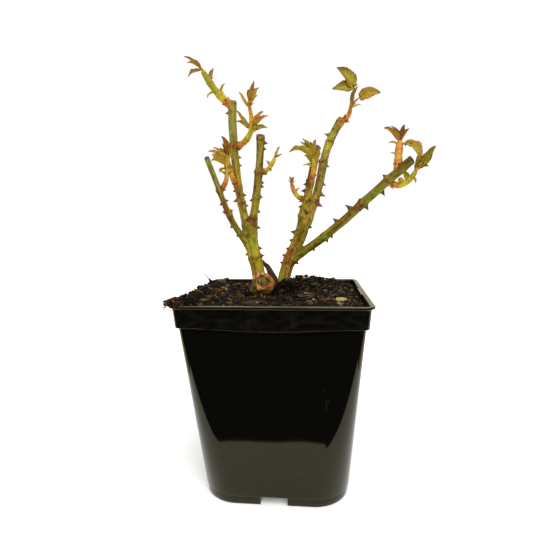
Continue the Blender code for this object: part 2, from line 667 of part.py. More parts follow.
def make_limb(name, coll, tools):
    limb = LIMBS[name]
    obj = limb_tube(name, limb, 0.0, coll)
    prune(obj, limb)
    rooms = []
    for other in limb["cut_by"]:
        if other == "stock":
            rooms.append(stock_body(name + "_seat", GAP, tools))
        else:
            rooms.append(limb_tube(name + "_room", LIMBS[other], GAP, tools))
    boolean(obj, "DIFFERENCE", rooms)
    if limb["prickles"]:
        spikes = new_collection(name + "_prickles")
        for k, (t, angle, size) in enumerate(prickle_rows(name)):
            prickle(name + "_p" + str(k), limb, t, angle, size * MM, spikes)
        fuse(obj, spikes)
    return obj


# ---------------------------------------------------------------- shoots and leaves
def clear_of_limbs(point, margin):
    """True where a point of a leaf stays outside every limb."""
    for name, limb in LIMBS.items():
        for k in range(41):
            t = k / 40.0
            if (limb_point(limb, t) - point).length < limb_radius(limb, t) + margin:
                return False
    return True


def aim(bearing, climb):
    b = math.radians(bearing)
    c = math.radians(climb)
    return Vector((math.cos(b) * math.cos(c), math.sin(b) * math.cos(c), math.sin(c)))


def leaf_arc(origin, direction, reach, arch, s):
    """A leaf's midline: straight out, humped by arch, where s runs from 0 to 1."""
    up = Vector((0.0, 0.0, 1.0))
    rise = up - direction * up.dot(direction)
    if rise.length < 0.2:
        rise = Vector((1.0, 0.0, 0.0)) - direction * direction.x
    rise.normalize()
    return origin + direction * (reach * s) + rise * (reach * arch * 4.0 * s * (1.0 - s))


def blade_up(ahead, face):
    """The way a blade's upper side looks: skyward, turned to the front by face degrees."""
    a = math.radians(face)
    sky = Vector((0.0, -math.sin(a), math.cos(a)))
    up = sky - ahead * sky.dot(ahead)
    if up.length < 0.25:
        sky = Vector((0.0, -1.0, 0.0))
        up = sky - ahead * sky.dot(ahead)
    return up.normalized()


def leaflet(name, spine, width, fold, face, coll):
    """A pointed blade folded along its midrib, thickest there and thin at its margins."""
    ahead = (spine(1.0) - spine(0.0)).normalized()
    up = blade_up(ahead, face)
    across = ahead.cross(up)
    lift = math.sin(math.radians(fold))
    wide = math.cos(math.radians(fold))
    bm = bmesh.new()
    loops = []
    for s, share in ((0.0, 0.26), (0.34, 0.98), (0.74, 0.74)):
        half = 0.5 * width * share
        mid = spine(s) - up * (0.5 * half * lift)
        left = mid + across * (half * wide) + up * (half * lift)
        right = mid - across * (half * wide) + up * (half * lift)
        loops.append([bm.verts.new(left), bm.verts.new(mid + up * 0.30 * MM),
                      bm.verts.new(right), bm.verts.new(mid - up * 0.45 * MM)])
    tip = bm.verts.new(spine(1.0))
    for low, high in zip(loops, loops[1:]):
        for i in range(4):
            j = (i + 1) % 4
            bm.faces.new((low[i], low[j], high[j], high[i]))
    for i in range(4):
        bm.faces.new((loops[-1][i], loops[-1][(i + 1) % 4], tip))
    bm.faces.new(list(reversed(loops[0])))
    bmesh.ops.recalc_face_normals(bm, faces=bm.faces)
    return object_from_bmesh(name, bm, coll)


def make_leaf(name, origin, row, rng, coll):
    """Stalk, end leaflet and side leaflets of one leaf; False where a limb is in its way."""
    t, bearing, climb, reach, arch, style_name = row
    style = LEAF_STYLES[style_name]
    reach = reach * MM
    direction = aim(bearing + rng.uniform(-3.0, 3.0), climb + rng.uniform(-2.0, 2.0))
    for s in (0.45, 0.6, 0.8, 1.0):
        if not clear_of_limbs(leaf_arc(origin, direction, reach, arch, s), 0.6 * MM):
            return False
    fork = style["petiole"]
    stalk = [leaf_arc(origin, direction, reach, arch, fork * k / 4.0) for k in range(5)]
    thick = 0.75 if style_name != "scale" else 0.9
    tube(name + "_stalk", stalk, [thick * 1.25 * MM] + [thick * MM] * 4, 0, coll)

    def spine(s):
        return leaf_arc(origin, direction, reach, arch, fork - 0.05 + (1.05 - fork) * s)

    blade = reach * (1.0 - fork)
    leaflet(name + "_end", spine, blade * style["width"], style["fold"], style["face"], coll)
    root = leaf_arc(origin, direction, reach, arch, fork - 0.04)
    ahead = (leaf_arc(origin, direction, reach, arch, fork + 0.05) - root).normalized()
    up = blade_up(ahead, style["face"])
    for hand, share in zip((-1, 1), style["sides"]):
        turn = Matrix.Rotation(math.radians(hand * style["spread"]), 3, up)
        heading = turn @ ahead
        length = blade * share * rng.uniform(0.9, 1.05)

        def side_spine(s, heading=heading, length=length):
            return root + heading * (length * s) + up * (length * 0.08 * 4.0 * s * (1.0 - s))

        if clear_of_limbs(side_spine(1.0), 0.6 * MM):
            leaflet(name + "_side" + str(hand), side_spine, length * style["width"],
                    style["fold"], style["face"], coll)
    return True


def make_shoot(name, coll, tools):
    spec = SHOOTS[name]
    host = LIMBS[spec["host"]]
    stem = shoot_stem(name)
    length = (vec(stem["tip"]) - vec(stem["base"])).length
    steps = max(4, round(length / (6.0 * MM)))
    ts = [k / steps for k in range(steps + 1)]
    points = [limb_point(stem, t) for t in ts]
    radii = [limb_radius(stem, t) for t in ts]
    obj = tube(name, points, radii, 1, coll)
    rng = random.Random(SEED * 7 + len(name))
    pieces = new_collection(name + "_leaves")
    for k, row in enumerate(spec["leaves"]):
        origin = limb_point(stem, min(row[0], 0.985))
        make_leaf(name + "_leaf" + str(k), origin, row, rng, pieces)
    fuse(obj, pieces)
    room = limb_tube(name + "_room", host, GAP, tools)
    return boolean(obj, "DIFFERENCE", [room])


# ---------------------------------------------------------------- the whole plant
def main():
    clear_scene()
    plant = new_collection("potted_rose")
    tools = new_collection("cutters")
    gloss = new_material("pot_plastic", COLOURS["pot"], 0.25)
    earth = new_material("potting_mix", COLOURS["mix"], 0.95)
    callus = new_material("graft_bark", COLOURS["stock"], 0.8)
    bark = new_material("cane_bark", COLOURS["cane"], 0.5)
    dead = new_material("dead_wood", COLOURS["dead"], 0.85)
    young = new_material("young_growth", COLOURS["shoot"], 0.45)

    make_pot(plant, tools).data.materials.append(gloss)
    make_mix(plant, tools).data.materials.append(earth)
    stock_body("graft_stock", 0.0, plant).data.materials.append(callus)
    for name in LIMBS:
        make_limb(name, plant, tools).data.materials.append(dead if name == "dead_stub" else bark)
    for name in SHOOTS:
        make_shoot(name, plant, tools).data.materials.append(young)
    for obj in plant.objects:
        mats = [m for m in obj.data.materials if m is not None]
        obj.data.materials.clear()
        obj.data.materials.append(mats[-1])
    bpy.data.collections.remove(tools)


main()
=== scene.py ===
# %% [markdown]
# # A pruned garden rose in a square nursery pot
# The plant was cut hard in late winter and is coming into leaf.  This lesson dresses the
# plain CAD model of it: the pot, its potting mix, the graft knob, two green canes with their
# boughs, the prickles, and ten young shoots.  The CAD model is loaded first and stays where it
# is.  Every new piece rides on its one body, and a piece that stands for a plain solid hides it.

# %% load the frame
import random
from math import atan2, copysign, cos, exp, hypot, pi, radians, sin, sqrt

import bmesh
import bpy
import numpy as np
from mathutils import Matrix, Vector, noise


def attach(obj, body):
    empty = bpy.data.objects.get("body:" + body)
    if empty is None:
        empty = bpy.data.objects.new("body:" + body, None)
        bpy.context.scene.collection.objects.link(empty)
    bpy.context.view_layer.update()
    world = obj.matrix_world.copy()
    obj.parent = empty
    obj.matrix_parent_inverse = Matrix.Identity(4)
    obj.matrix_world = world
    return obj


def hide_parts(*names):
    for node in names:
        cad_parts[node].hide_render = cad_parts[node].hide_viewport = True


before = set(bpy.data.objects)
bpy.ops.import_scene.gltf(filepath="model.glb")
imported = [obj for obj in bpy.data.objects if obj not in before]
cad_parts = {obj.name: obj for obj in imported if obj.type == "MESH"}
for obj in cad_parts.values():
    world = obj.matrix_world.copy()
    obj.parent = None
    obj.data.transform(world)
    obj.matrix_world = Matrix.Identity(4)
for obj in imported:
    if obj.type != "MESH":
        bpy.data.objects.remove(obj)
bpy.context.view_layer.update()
MM = 0.001
SEED = 11
noise.seed_set(SEED)               # noise_vector differs from run to run without it

# %% [markdown]
# ## The camera
# A product photographer stands close, a little above the rim, so the near rim looks wider
# than the far one.  The camera could be aimed with a constraint, but a matrix worked out from
# three angles is exact and keeps the small roll of a hand-held shot.

# %% camera
FOCAL_SHARE = 413.277 / 553.0      # focal length as a share of the frame's width
CAMERA_PLACE = Vector((39.96, -430.95, 265.45)) * MM
SENSOR = 36.0                      # width of the camera's sensor in mm
AZIMUTH, PITCH, ROLL = [radians(a) for a in (5.531, 7.288, -0.734)]


def link(name, data):
    """A new object in the scene."""
    thing = bpy.data.objects.new(name, data)
    bpy.context.scene.collection.objects.link(thing)
    return thing


def set_camera():
    data = bpy.data.cameras.new("studio_camera")
    data.sensor_fit = "HORIZONTAL"
    data.sensor_width = SENSOR
    data.lens = SENSOR * FOCAL_SHARE
    data.clip_start = 0.01
    data.clip_end = 60.0
    camera = link("studio_camera", data)
    ahead = Vector((-sin(AZIMUTH) * cos(PITCH), cos(AZIMUTH) * cos(PITCH),
                    -sin(PITCH)))
    level = Vector((cos(AZIMUTH), sin(AZIMUTH), 0.0))
    above = level.cross(ahead)
    right = level * cos(ROLL) + above * sin(ROLL)
    up = above * cos(ROLL) - level * sin(ROLL)
    axes = Matrix((right, up, -ahead)).transposed().to_4x4()
    camera.matrix_world = Matrix.Translation(CAMERA_PLACE) @ axes
    bpy.context.scene.camera = camera
    return data


print("lens in mm:", round(set_camera().lens, 2))

# %% [markdown]
# ## Shader sums
# Noise, ramps and masks are easier to read as sums than as a drawing of wires.  `Wire` wraps
# one output socket, and the arithmetic signs add Math nodes after it.  `Finish` holds the nodes
# of one material: `add` makes any node from its type, its settings and its sockets' values.


# %% shader sums
def put(tree, socket, value):
    """Give a socket a wire or a plain value."""
    if isinstance(value, Wire):
        tree.links.new(value.socket, socket)
    elif isinstance(value, (tuple, list, Vector)) and socket.type == "RGBA" and len(value) == 3:
        socket.default_value = (*value, 1.0)
    else:
        socket.default_value = value


class Wire:
    """One output socket that takes part in plain arithmetic."""

    def __init__(self, finish, socket):
        self.finish = finish
        self.socket = socket

    def sum(self, operation, first, second=0.0):
        return self.finish.add("ShaderNodeMath", {"operation": operation},
                               {0: first, 1: second})

    def __add__(self, other):
        return self.sum("ADD", self, other)

    def __radd__(self, other):
        return self.sum("ADD", other, self)

    def __sub__(self, other):
        return self.sum("SUBTRACT", self, other)

    def __rsub__(self, other):
        return self.sum("SUBTRACT", other, self)

    def __mul__(self, other):
        return self.sum("MULTIPLY", self, other)

    def __rmul__(self, other):
        return self.sum("MULTIPLY", other, self)

    def within(self, low, high):
        """0 below low, 1 above high, smooth between."""
        return self.finish.add("ShaderNodeMapRange", {"interpolation_type": "SMOOTHSTEP"},
                               {"Value": self, "From Min": low, "From Max": high})

    def either(self, other):
        return self.sum("MAXIMUM", self, other)


class Finish:
    """The nodes of a material or a world, added by calls."""

    def __init__(self, owner):
        owner.use_nodes = True
        self.owner = owner
        self.tree = owner.node_tree

    def add(self, kind, settings=None, sockets=None, out=0):
        node = self.tree.nodes.new(kind)
        for key, value in (settings or {}).items():
            setattr(node, key, value)
        for key, value in (sockets or {}).items():
            put(self.tree, node.inputs[key], value)
        return Wire(self, node.outputs[out])

    def dress(self, shader="Principled BSDF", **sockets):
        """Set the shader's sockets; a word such as base_color names the socket Base Color."""
        for key, value in sockets.items():
            word = key.replace("_", " ").title().replace("Ior", "IOR")
            put(self.tree, self.tree.nodes[shader].inputs[word], value)
        return self.owner

    def place(self):
        return self.add("ShaderNodeTexCoord", out="Object")

    def stretch(self, vector, scale):
        return self.add("ShaderNodeMapping", {}, {"Vector": vector, "Scale": scale})

    def noise(self, vector, scale, detail=3.0, rough=0.55, out=0):
        return self.add("ShaderNodeTexNoise", {}, {"Vector": vector, "Scale": scale,
                                                   "Detail": detail, "Roughness": rough}, out)

    def cells(self, vector, scale, feature="F1", out="Distance"):
        return self.add("ShaderNodeTexVoronoi", {"feature": feature},
                        {"Vector": vector, "Scale": scale}, out)

    def stored(self, name, out="Color"):
        return self.add("ShaderNodeAttribute", {"attribute_name": name}, out=out)

    def mix(self, share, first, second, blend="MIX"):
        return self.add("ShaderNodeMix", {"data_type": "RGBA", "blend_type": blend},
                        {0: share, 6: first, 7: second}, 2)

    def two_tone(self, mask, dark, light=None):
        """The pigment stored at the points, times dark where mask is 0, times light where 1."""
        tint = self.stored("tint")
        low = self.mix(1.0, tint, dark, "MULTIPLY")
        return self.mix(mask, low, self.mix(1.0, tint, light, "MULTIPLY") if light else tint)

    def bump(self, height, distance, strength=1.0):
        return self.add("ShaderNodeBump", {}, {"Height": height, "Distance": distance,
                                               "Strength": strength})


def shade(red, green, blue):
    """A colour given as 0 to 255 on a screen, turned to the linear light a shader needs."""
    linear = []
    for part in (red, green, blue):
        share = part / 255.0
        linear.append(share / 12.92 if share <= 0.04045 else ((share + 0.055) / 1.055) ** 2.4)
    return tuple(linear)


def palette(**colours):
    return {word: shade(*colour) for word, colour in colours.items()}


print("white is", shade(255, 255, 255))

# %% [markdown]
# ## The studio
# The plant stands on a pale sheet before a pale backdrop, and the room behind the photographer
# is dark.  That matters here, because the glossy black pot shows the room: its front is black
# where it mirrors the dark side, pale brown at its edges where it mirrors the backdrop, and
# grey-green low down where it mirrors the near sheet.  The far floor is the same colour but
# stays out of reflections.

# %% floor
FLOOR_COLOUR = (0.93, 0.93, 0.93)
FLOOR_GRAIN = (0.96, 0.96, 0.96)
SHEET_FRONT = -0.1645              # the pot mirrors this edge of the near sheet
SHEET_BACK = 0.8
SHEET_HALF = 0.30
FAR = 20.0


def pale_floor_finish():
    finish = Finish(bpy.data.materials.new("pale_sheet"))
    grain = finish.noise(finish.place(), 900.0, 2.0)
    colour = finish.mix(grain, FLOOR_COLOUR, FLOOR_GRAIN)
    return finish.dress(base_color=colour, roughness=0.85, normal=finish.bump(grain, 0.00005),
                        emission_color=(1.0, 1.0, 1.0), emission_strength=0.15,
                        specular_ior_level=0.2)


def flat_sheet(name, half, front, back, height, material):
    mesh = bpy.data.meshes.new(name)
    outline = ((-half, front), (half, front), (half, back), (-half, back))
    mesh.from_pydata([(x, y, height) for x, y in outline], [], [(0, 1, 2, 3)])
    mesh.materials.append(material)
    sheet = link(name, mesh)
    return sheet


floor_finish = pale_floor_finish()
near_sheet = flat_sheet("near_sheet", SHEET_HALF, SHEET_FRONT, SHEET_BACK, -0.2 * MM, floor_finish)
wide_floor = flat_sheet("wide_floor", FAR, -FAR, FAR, -1.2 * MM, floor_finish)
wide_floor.visible_glossy = False
print("floor pieces:", near_sheet.name, wide_floor.name)

# %% room and lights
# Heading of the light, strength, width of the lamp as an angle in degrees, tint.
SUNS = {
    "key": dict(place=(0.38, -0.95, 1.05), strength=2.35, angle=42.0, tint=(1.0, 0.97, 0.90)),
    "top": dict(place=(0.10, 0.10, 1.40), strength=1.45, angle=75.0, tint=(1.0, 1.0, 1.0)),
    "fill": dict(place=(-0.95, -0.60, 0.45), strength=0.40, angle=50.0, tint=(0.95, 0.98, 1.0)),
}
ROOM_GLOW = 0.42       # the backdrop's light on the plant
MIRROR_GLOW = 1.30     # and in the plant's reflections
DARK_SIDE = 0.010
CAMERA_WHITE = 1.02
WARM_MIRROR = (1.0, 0.90, 0.66)


def light_room():
    """Pale above and behind the plant, dark behind the camera; plain white to the camera."""
    world = bpy.data.worlds.new("studio_room")
    bpy.context.scene.world = world
    finish = Finish(world)
    toward = finish.add("ShaderNodeTexCoord", out="Generated")
    across = finish.add("ShaderNodeSeparateXYZ", {}, {0: toward}, 1)
    height = finish.add("ShaderNodeSeparateXYZ", {}, {0: toward}, 2)
    backdrop = across.within(-0.25, 0.35)
    ceiling = height.within(0.25, 0.85)
    seen = finish.add("ShaderNodeLightPath", out="Is Camera Ray")
    mirrored = finish.add("ShaderNodeLightPath", out="Is Glossy Ray")
    glow = backdrop.either(ceiling) * (ROOM_GLOW + mirrored * (MIRROR_GLOW - ROOM_GLOW)) + DARK_SIDE
    finish.dress("Background", strength=seen * CAMERA_WHITE + glow * (1.0 - seen),
                 color=finish.mix(mirrored, (1.0, 1.0, 1.0), WARM_MIRROR))


def sun_lamp(name, place, strength, angle, tint):
    data = bpy.data.lights.new(name, "SUN")
    data.energy = strength
    data.angle = radians(angle)
    data.color = tint
    lamp = link(name, data)
    lamp.location = place
    lamp.rotation_mode = "QUATERNION"
    lamp.rotation_quaternion = (-Vector(place)).to_track_quat("-Z", "Y")


light_room()
for lamp_name, lamp_words in SUNS.items():
    sun_lamp(lamp_name + "_light", **lamp_words)
view = bpy.context.scene.view_settings
view.view_transform = "Standard"
view.look = "None"

# %% [markdown]
# ## A basket for points
# Every piece below is made of rings and strips of points.  `Shape` gathers them with a colour
# for each point, the pigment of that spot with any painted shade and highlight laid in, and a
# grain vector that runs along the wood, so that a material can draw streaks along a stem
# whichever way it bends.


# %% shape basket
def chain(lists):
    """The members of many lists as one list."""
    return [member for members in lists for member in members]


def grid_faces(rows, columns):
    """The squares of a grid that has rows + 1 lines of points."""
    return [(k, k + 1, k + columns + 1, k + columns)
            for row in range(rows) for k in range(row * columns, (row + 1) * columns - 1)]


def grid_rim(rows, columns):
    """The points round that grid: down one side, across, up the other and back."""
    return (list(range(0, rows * columns, columns))
            + list(range(rows * columns, (rows + 1) * columns))
            + list(range(rows * columns - 1, columns - 2, -columns))
            + list(range(columns - 2, 0, -1)))


def store_tints(mesh, tints):
    flat = chain((*tint, 1.0) for tint in tints)
    mesh.attributes.new("tint", "FLOAT_COLOR", "POINT").data.foreach_set("color", flat)


class Shape:
    """Points, faces, pigments and grain, gathered before they become one mesh."""

    def __init__(self):
        self.points = []
        self.faces = []
        self.tints = []
        self.grain = []
        self.finish_of = []

    def add(self, points, faces, tints, grain=None):
        start = len(self.points)
        self.points.extend(points)
        self.join([start + i for i in face] for face in faces)
        self.tints.extend(tints)
        self.grain.extend(grain or points)

    def join(self, faces):
        """More faces over points that are there already."""
        self.faces.extend(tuple(face) for face in faces)
        self.finish_of.extend([0] * (len(self.faces) - len(self.finish_of)))

    def rings(self, rings, tints, grain=None):
        """Rings of equal count joined in order and capped; tints and grain are like rings."""
        count = len(rings[0])
        last = (len(rings) - 1) * count
        faces = []
        for r in range(0, last, count):
            for i in range(count):
                j = (i + 1) % count
                faces.append((r + i, r + j, r + count + j, r + count + i))
        faces.append(tuple(reversed(range(count))))
        faces.append(tuple(last + i for i in range(count)))
        self.add(chain(rings), faces, chain(tints), chain(grain) if grain else None)

    def sheet(self, upper, lower, columns, tints, under):
        """A thin closed sheet: a grid of points above, one below, and a rim between them."""
        count = len(upper)
        rows = count // columns - 1
        faces = []
        for quad in grid_faces(rows, columns):
            faces.append(quad)
            faces.append(tuple(count + i for i in reversed(quad)))
        rim = grid_rim(rows, columns)
        for k, j in zip(rim, rim[1:] + rim[:1]):
            faces.append((k, j, count + j, count + k))
        self.add(upper + lower, faces, tints + under)

    def make(self, name, materials, sharp=None):
        mesh = bpy.data.meshes.new(name)
        mesh.from_pydata([tuple(p) for p in self.points], [], self.faces)
        store_tints(mesh, self.tints)
        grain = mesh.attributes.new("grain", "FLOAT_VECTOR", "POINT")
        grain.data.foreach_set("vector", chain(self.grain))
        for material in materials:
            mesh.materials.append(material)
        mesh.polygons.foreach_set("material_index", self.finish_of)
        mesh.shade_smooth()
        if sharp is not None:
            mesh.set_sharp_from_angle(angle=radians(sharp))
        mesh.update()
        return link(name, mesh)


def settle(piece, slot, *nodes):
    """Ride on the one body and hide the plain solids it stands for; slot is not used."""
    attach(piece, "root")
    if nodes:
        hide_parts(*nodes)
    print(piece.name, "faces:", len(piece.data.polygons))
    return piece


def paint(mesh, pigment):
    """Store a colour at every point of a finished mesh, from its place: pigment with any painted shade
    and highlights.
    """
    for stale in [a for a in mesh.attributes if a.name in ("tint", "grain")]:
        mesh.attributes.remove(stale)
    store_tints(mesh, [pigment(vert.co) for vert in mesh.vertices])


def refinish(mesh, material, pigment):
    """After a cut: one finish again, pigments by place and soft shading."""
    mesh.materials.clear()
    mesh.materials.append(material)
    paint(mesh, pigment)
    mesh.shade_smooth()


def baked(thing):
    """The thing's mesh as its modifiers leave it; the modifiers go."""
    graph = bpy.context.evaluated_depsgraph_get()
    mesh = bpy.data.meshes.new_from_object(thing.evaluated_get(graph))
    thing.modifiers.clear()
    thing.data = mesh
    return mesh


def blend(first, second, share):
    share = min(1.0, max(0.0, share))
    return tuple(a + (b - a) * share for a, b in zip(first, second))


def glaze(colour, *coats):
    """Lay coats over a colour in turn; each is a colour and how much of it."""
    for coat, share in coats:
        colour = blend(colour, coat, share)
    return colour


def smooth(value, low, high):
    share = min(1.0, max(0.0, (value - low) / (high - low)))
    return share * share * (3.0 - 2.0 * share)


def rough(x, y, z):
    """Smooth noise at a place, about -0.6 to 0.6."""
    return noise.noise(Vector((x, y, z)))


def circle(middle, side, other, radius, sides):
    """A ring of points round the middle."""
    return [middle + (side * cos(a) + other * sin(a)) * radius
            for a in (2.0 * pi * i / sides for i in range(sides))]


print("a grid of 2 by 3 points has the rim", grid_rim(2, 2))
# %% [markdown]
# ## The pot
# A square nursery pot is vacuum formed or moulded from thin black plastic.  Its corners are wide
# at the foot and tight at the rim, it steps out to a band below the lip, and four channels run
# under it to drain holes.  A box with bevels would miss the changing corners, so rounded
# squares are stacked as rings, up the outside, over the lip and down the inside.  The rings
# carry the small things that light finds: the sunk panel, the rounded ledge, soft dents.

# %% pot sizes
POT_HEIGHT = 195.6 * MM
WALL = 1.4 * MM
FLOOR = 1.6 * MM
FOOT_HALF = 71.4 * MM
FOOT_HEIGHT = 8.5 * MM
WALL_FOOT_HALF = 72.7 * MM
WALL_HEAD_HALF = 83.1 * MM
WALL_HEAD = 174.6 * MM
BAND_FOOT_HALF = 85.6 * MM
BAND_HEAD_HALF = 87.1 * MM
BAND_HEAD = 193.1 * MM
FOOT_CORNER = 34.7 * MM
WALL_FOOT_CORNER = 35.3 * MM
HEAD_CORNER = 6.2 * MM
BULGE = 1.2 * MM
PANEL_EDGES = (18.0, 18.2, 18.45, 18.75, 19.0, 19.2)   # where the panel's side rises, mm
PANEL_DEPTH = 1.1 * MM
CHANNEL_WIDE = 26.0 * MM
CHANNEL_NARROW = 18.0 * MM
CHANNEL_END = 15.0 * MM
DRAIN_RADIUS = 5.0 * MM
DRAIN_OFFSET = 42.0 * MM
CORNER_STEPS = 14
FLAT_STEPS = 20
WALL_ROWS = 62
BAND_ROWS = 14
INNER_ROWS = 24

# %% rings of the pot
# Dents of the front: place across and height in mm, widths in mm, depth in mm, lean.
DENTS = (
    (-67.0, 177.5, 12.0, 1.6, -0.75, -0.30), (-50.0, 172.6, 11.0, 1.5, -0.70, -0.16),
    (-64.0, 164.0, 7.0, 9.0, 1.05, -0.30), (-72.0, 158.0, 2.2, 9.0, -0.60, 0.0),
    (-60.0, 149.0, 12.0, 4.0, 0.45, -0.3), (-15.5, 171.0, 3.0, 3.0, -0.75, 0.0),
    (-15.0, 165.0, 5.0, 5.0, 0.55, 0.0), (-28.0, 169.0, 9.0, 4.0, 0.45, 0.1),
    (30.0, 60.0, 26.0, 30.0, 0.35, 0.0), (-25.0, 100.0, 30.0, 45.0, 0.30, 0.0),
    (48.0, 130.0, 24.0, 40.0, 0.28, 0.0),
)


def dent_depth(u, z):
    """How far a front dent pushes the wall in, where u runs across the side."""
    depth = 0.0
    for across, height, wide, tall, deep, lean in DENTS:
        a = (u / MM - across) / wide
        b = (z / MM - height - lean * (u / MM - across)) / tall
        depth += deep * exp(-a * a - b * b)
    return depth * MM


def sag(share, z):
    """The ledge under the front band hangs a little in the middle."""
    near = exp(-((z - WALL_HEAD) / (9.0 * MM)) ** 2)
    return 2.6 * MM * cos(0.5 * pi * min(1.0, abs(share))) ** 2 * near


def flat_places(flat):
    """Places across one side: even steps, and close ones where the panel's edge rises."""
    edges = [e * MM for e in PANEL_EDGES]
    outer = [edges[-1] + (flat - edges[-1]) * k / FLAT_STEPS for k in range(1, FLAT_STEPS + 1)]
    middle = [edges[0] * k / 8.0 for k in range(8)]
    right = middle[1:] + edges + outer
    return [-u for u in reversed(right)] + middle[:1] + right


def quarter(side):
    """The turn from the front to one of the four sides."""
    return Matrix.Rotation(radians(90.0 * side), 3, "Z")


def square_ring(z, half, corner, bulge=0.0, sunk=0.0, dented=False):
    """A rounded square whose sides may swell, with a panel sunk in the middle of each."""
    ring = []
    flat = half - corner
    low, high = PANEL_EDGES[0] * MM, PANEL_EDGES[-1] * MM
    for side in range(4):
        turn = quarter(side)
        for u in flat_places(flat)[:-1]:
            out = half + bulge * cos(0.5 * pi * u / flat) ** 2
            out -= sunk * (1.0 - smooth(abs(u), low, high))
            low_z = z
            if dented and side == 0:
                out -= dent_depth(u, z)
                low_z -= sag(u / flat, z)
            ring.append(turn @ Vector((u, -out, low_z)))
        for k in range(CORNER_STEPS):
            a = radians(-90.0 + 90.0 * k / CORNER_STEPS)
            ring.append(turn @ Vector((flat + corner * cos(a),
                                       -flat + corner * sin(a), z)))
    return ring


def wall_section(share):
    half = WALL_FOOT_HALF + (WALL_HEAD_HALF - WALL_FOOT_HALF) * share
    corner = WALL_FOOT_CORNER + (HEAD_CORNER - WALL_FOOT_CORNER) * share
    return half, corner, BULGE * sin(pi * share)


def lip_corner(half):
    return HEAD_CORNER + half - BAND_HEAD_HALF


def band_half(z):
    share = (z - WALL_HEAD) / (BAND_HEAD - WALL_HEAD)
    return BAND_FOOT_HALF + (BAND_HEAD_HALF - BAND_FOOT_HALF) * share


def outside_rows():
    """Sections of the outer skin: height, half width, corner and, if any, bulge, sunk, dented."""
    rows = []
    for z, less in ((0.0, 1.3), (0.02, 0.85), (0.25, 0.35), (0.8, 0.0), (7.6, 0.0), (8.0, 0.05),
                    (8.2, 0.25)):
        half = FOOT_HALF - less * MM
        rows.append((z * MM, half, half - FOOT_HALF + FOOT_CORNER))
    for z, less in ((8.35, 0.9), (8.5, 0.35), (8.8, 0.08)):
        half = WALL_FOOT_HALF - less * MM
        rows.append((z * MM, half, WALL_FOOT_CORNER - less * MM))
    for k in range(WALL_ROWS + 1):
        share = (k / WALL_ROWS) ** 0.9
        z = 9.2 * MM + (WALL_HEAD - 0.5 * MM - 9.2 * MM) * share
        rows.append((z, *wall_section(share), 0.0, True))
    for z, less in ((174.25, 2.1), (174.4, 1.1), (174.55, 0.5), (174.75, 0.18), (175.1, 0.0)):
        half = band_half(z * MM) - less * MM
        rows.append((z * MM, half, HEAD_CORNER, 0.0, PANEL_DEPTH * (1.0 - less / 2.5), True))
    for k in range(1, BAND_ROWS + 1):
        z = 175.1 + (191.8 - 175.1) * k / BAND_ROWS
        rows.append((z * MM, band_half(z * MM), HEAD_CORNER, 0.0, PANEL_DEPTH, True))
    for z, more in ((192.3, 0.1), (192.7, 0.35), (192.95, 0.8)):
        half = BAND_HEAD_HALF + more * MM
        rows.append((z * MM, half, lip_corner(half), 0.0, PANEL_DEPTH * (1 - more)))
    for z, half in ((193.1, 88.6), (193.2, 89.5), (193.4, 89.82), (193.8, 89.98), (194.6, 90.0),
                    (195.1, 89.9), (195.4, 89.65), (195.56, 89.3), (195.6, 88.8), (195.6, 87.9),
                    (195.56, 87.1), (195.4, 86.5), (195.0, 86.05), (194.4, 85.8)):
        rows.append((z * MM, half * MM, lip_corner(half * MM)))
    return rows


def inside_rows():
    """Sections of the inner skin from the lip down to the floor."""
    rows = []
    for k in range(8):
        z = 193.0 - (193.0 - 176.6) * k / 7
        rows.append((z * MM, band_half(z * MM) - WALL, HEAD_CORNER - WALL, 0.0, PANEL_DEPTH))
    for z, less in ((176.2, 0.4), (176.0, 1.4)):
        rows.append((z * MM, band_half(z * MM) - WALL - less * MM, HEAD_CORNER - WALL))
    for k in range(INNER_ROWS + 1):
        share = 1.0 - k / INNER_ROWS
        half, corner, bulge = wall_section(share)
        z = FOOT_HEIGHT + WALL + (WALL_HEAD - FOOT_HEIGHT) * share
        rows.append((z, half - WALL, corner - WALL, bulge))
    for z in (9.5, 6.0, FLOOR / MM):
        rows.append((z * MM, FOOT_HALF - WALL, FOOT_CORNER - WALL))
    return rows


print("outer rows:", len(outside_rows()), "inner rows:", len(inside_rows()))

# %% pot shell
PLASTIC = (0.0022, 0.0021, 0.0018)
# Dust, and the pale tone of the painted highlights on the pot
DUST_AND_SHEEN = (0.085, 0.075, 0.055)


def cut_by(target, cutters, solver="EXACT"):
    """Take the cutters out of the target one after another, then remove them."""
    for cutter in cutters:
        modifier = target.modifiers.new("cut", "BOOLEAN")
        modifier.operation = "DIFFERENCE"
        modifier.object = cutter
        modifier.solver = solver
    baked(target)
    for cutter in cutters:
        bpy.data.objects.remove(cutter, do_unlink=True)


def stack(name, rings):
    """A plain solid over rings, for a skin or a cutter."""
    shape = Shape()
    shape.rings(rings, [[PLASTIC] * len(ring) for ring in rings])
    return shape.make(name, [])


def channel_cutter(side, grow):
    """The wedge that one drainage channel takes out of the foot."""
    wide, narrow = 0.5 * CHANNEL_WIDE + grow, 0.5 * CHANNEL_NARROW + grow
    near = -CHANNEL_END + grow
    outline = ((-wide, -0.1), (wide, -0.1), (wide, -FOOT_HALF), (narrow, near), (-narrow, near),
               (-wide, -FOOT_HALF))
    return stack("channel_cutter", [[quarter(side) @ Vector((x, y, z)) for x, y in outline]
                                    for z in (-0.005, FOOT_HEIGHT + grow)])


def drain_cutter(x, y):
    outline = [(x + DRAIN_RADIUS * cos(k * pi / 24), y + DRAIN_RADIUS * sin(k * pi / 24))
               for k in range(48)]
    return stack("drain_cutter", [[Vector((a, b, z)) for a, b in outline] for z in (-0.005, 0.005)])


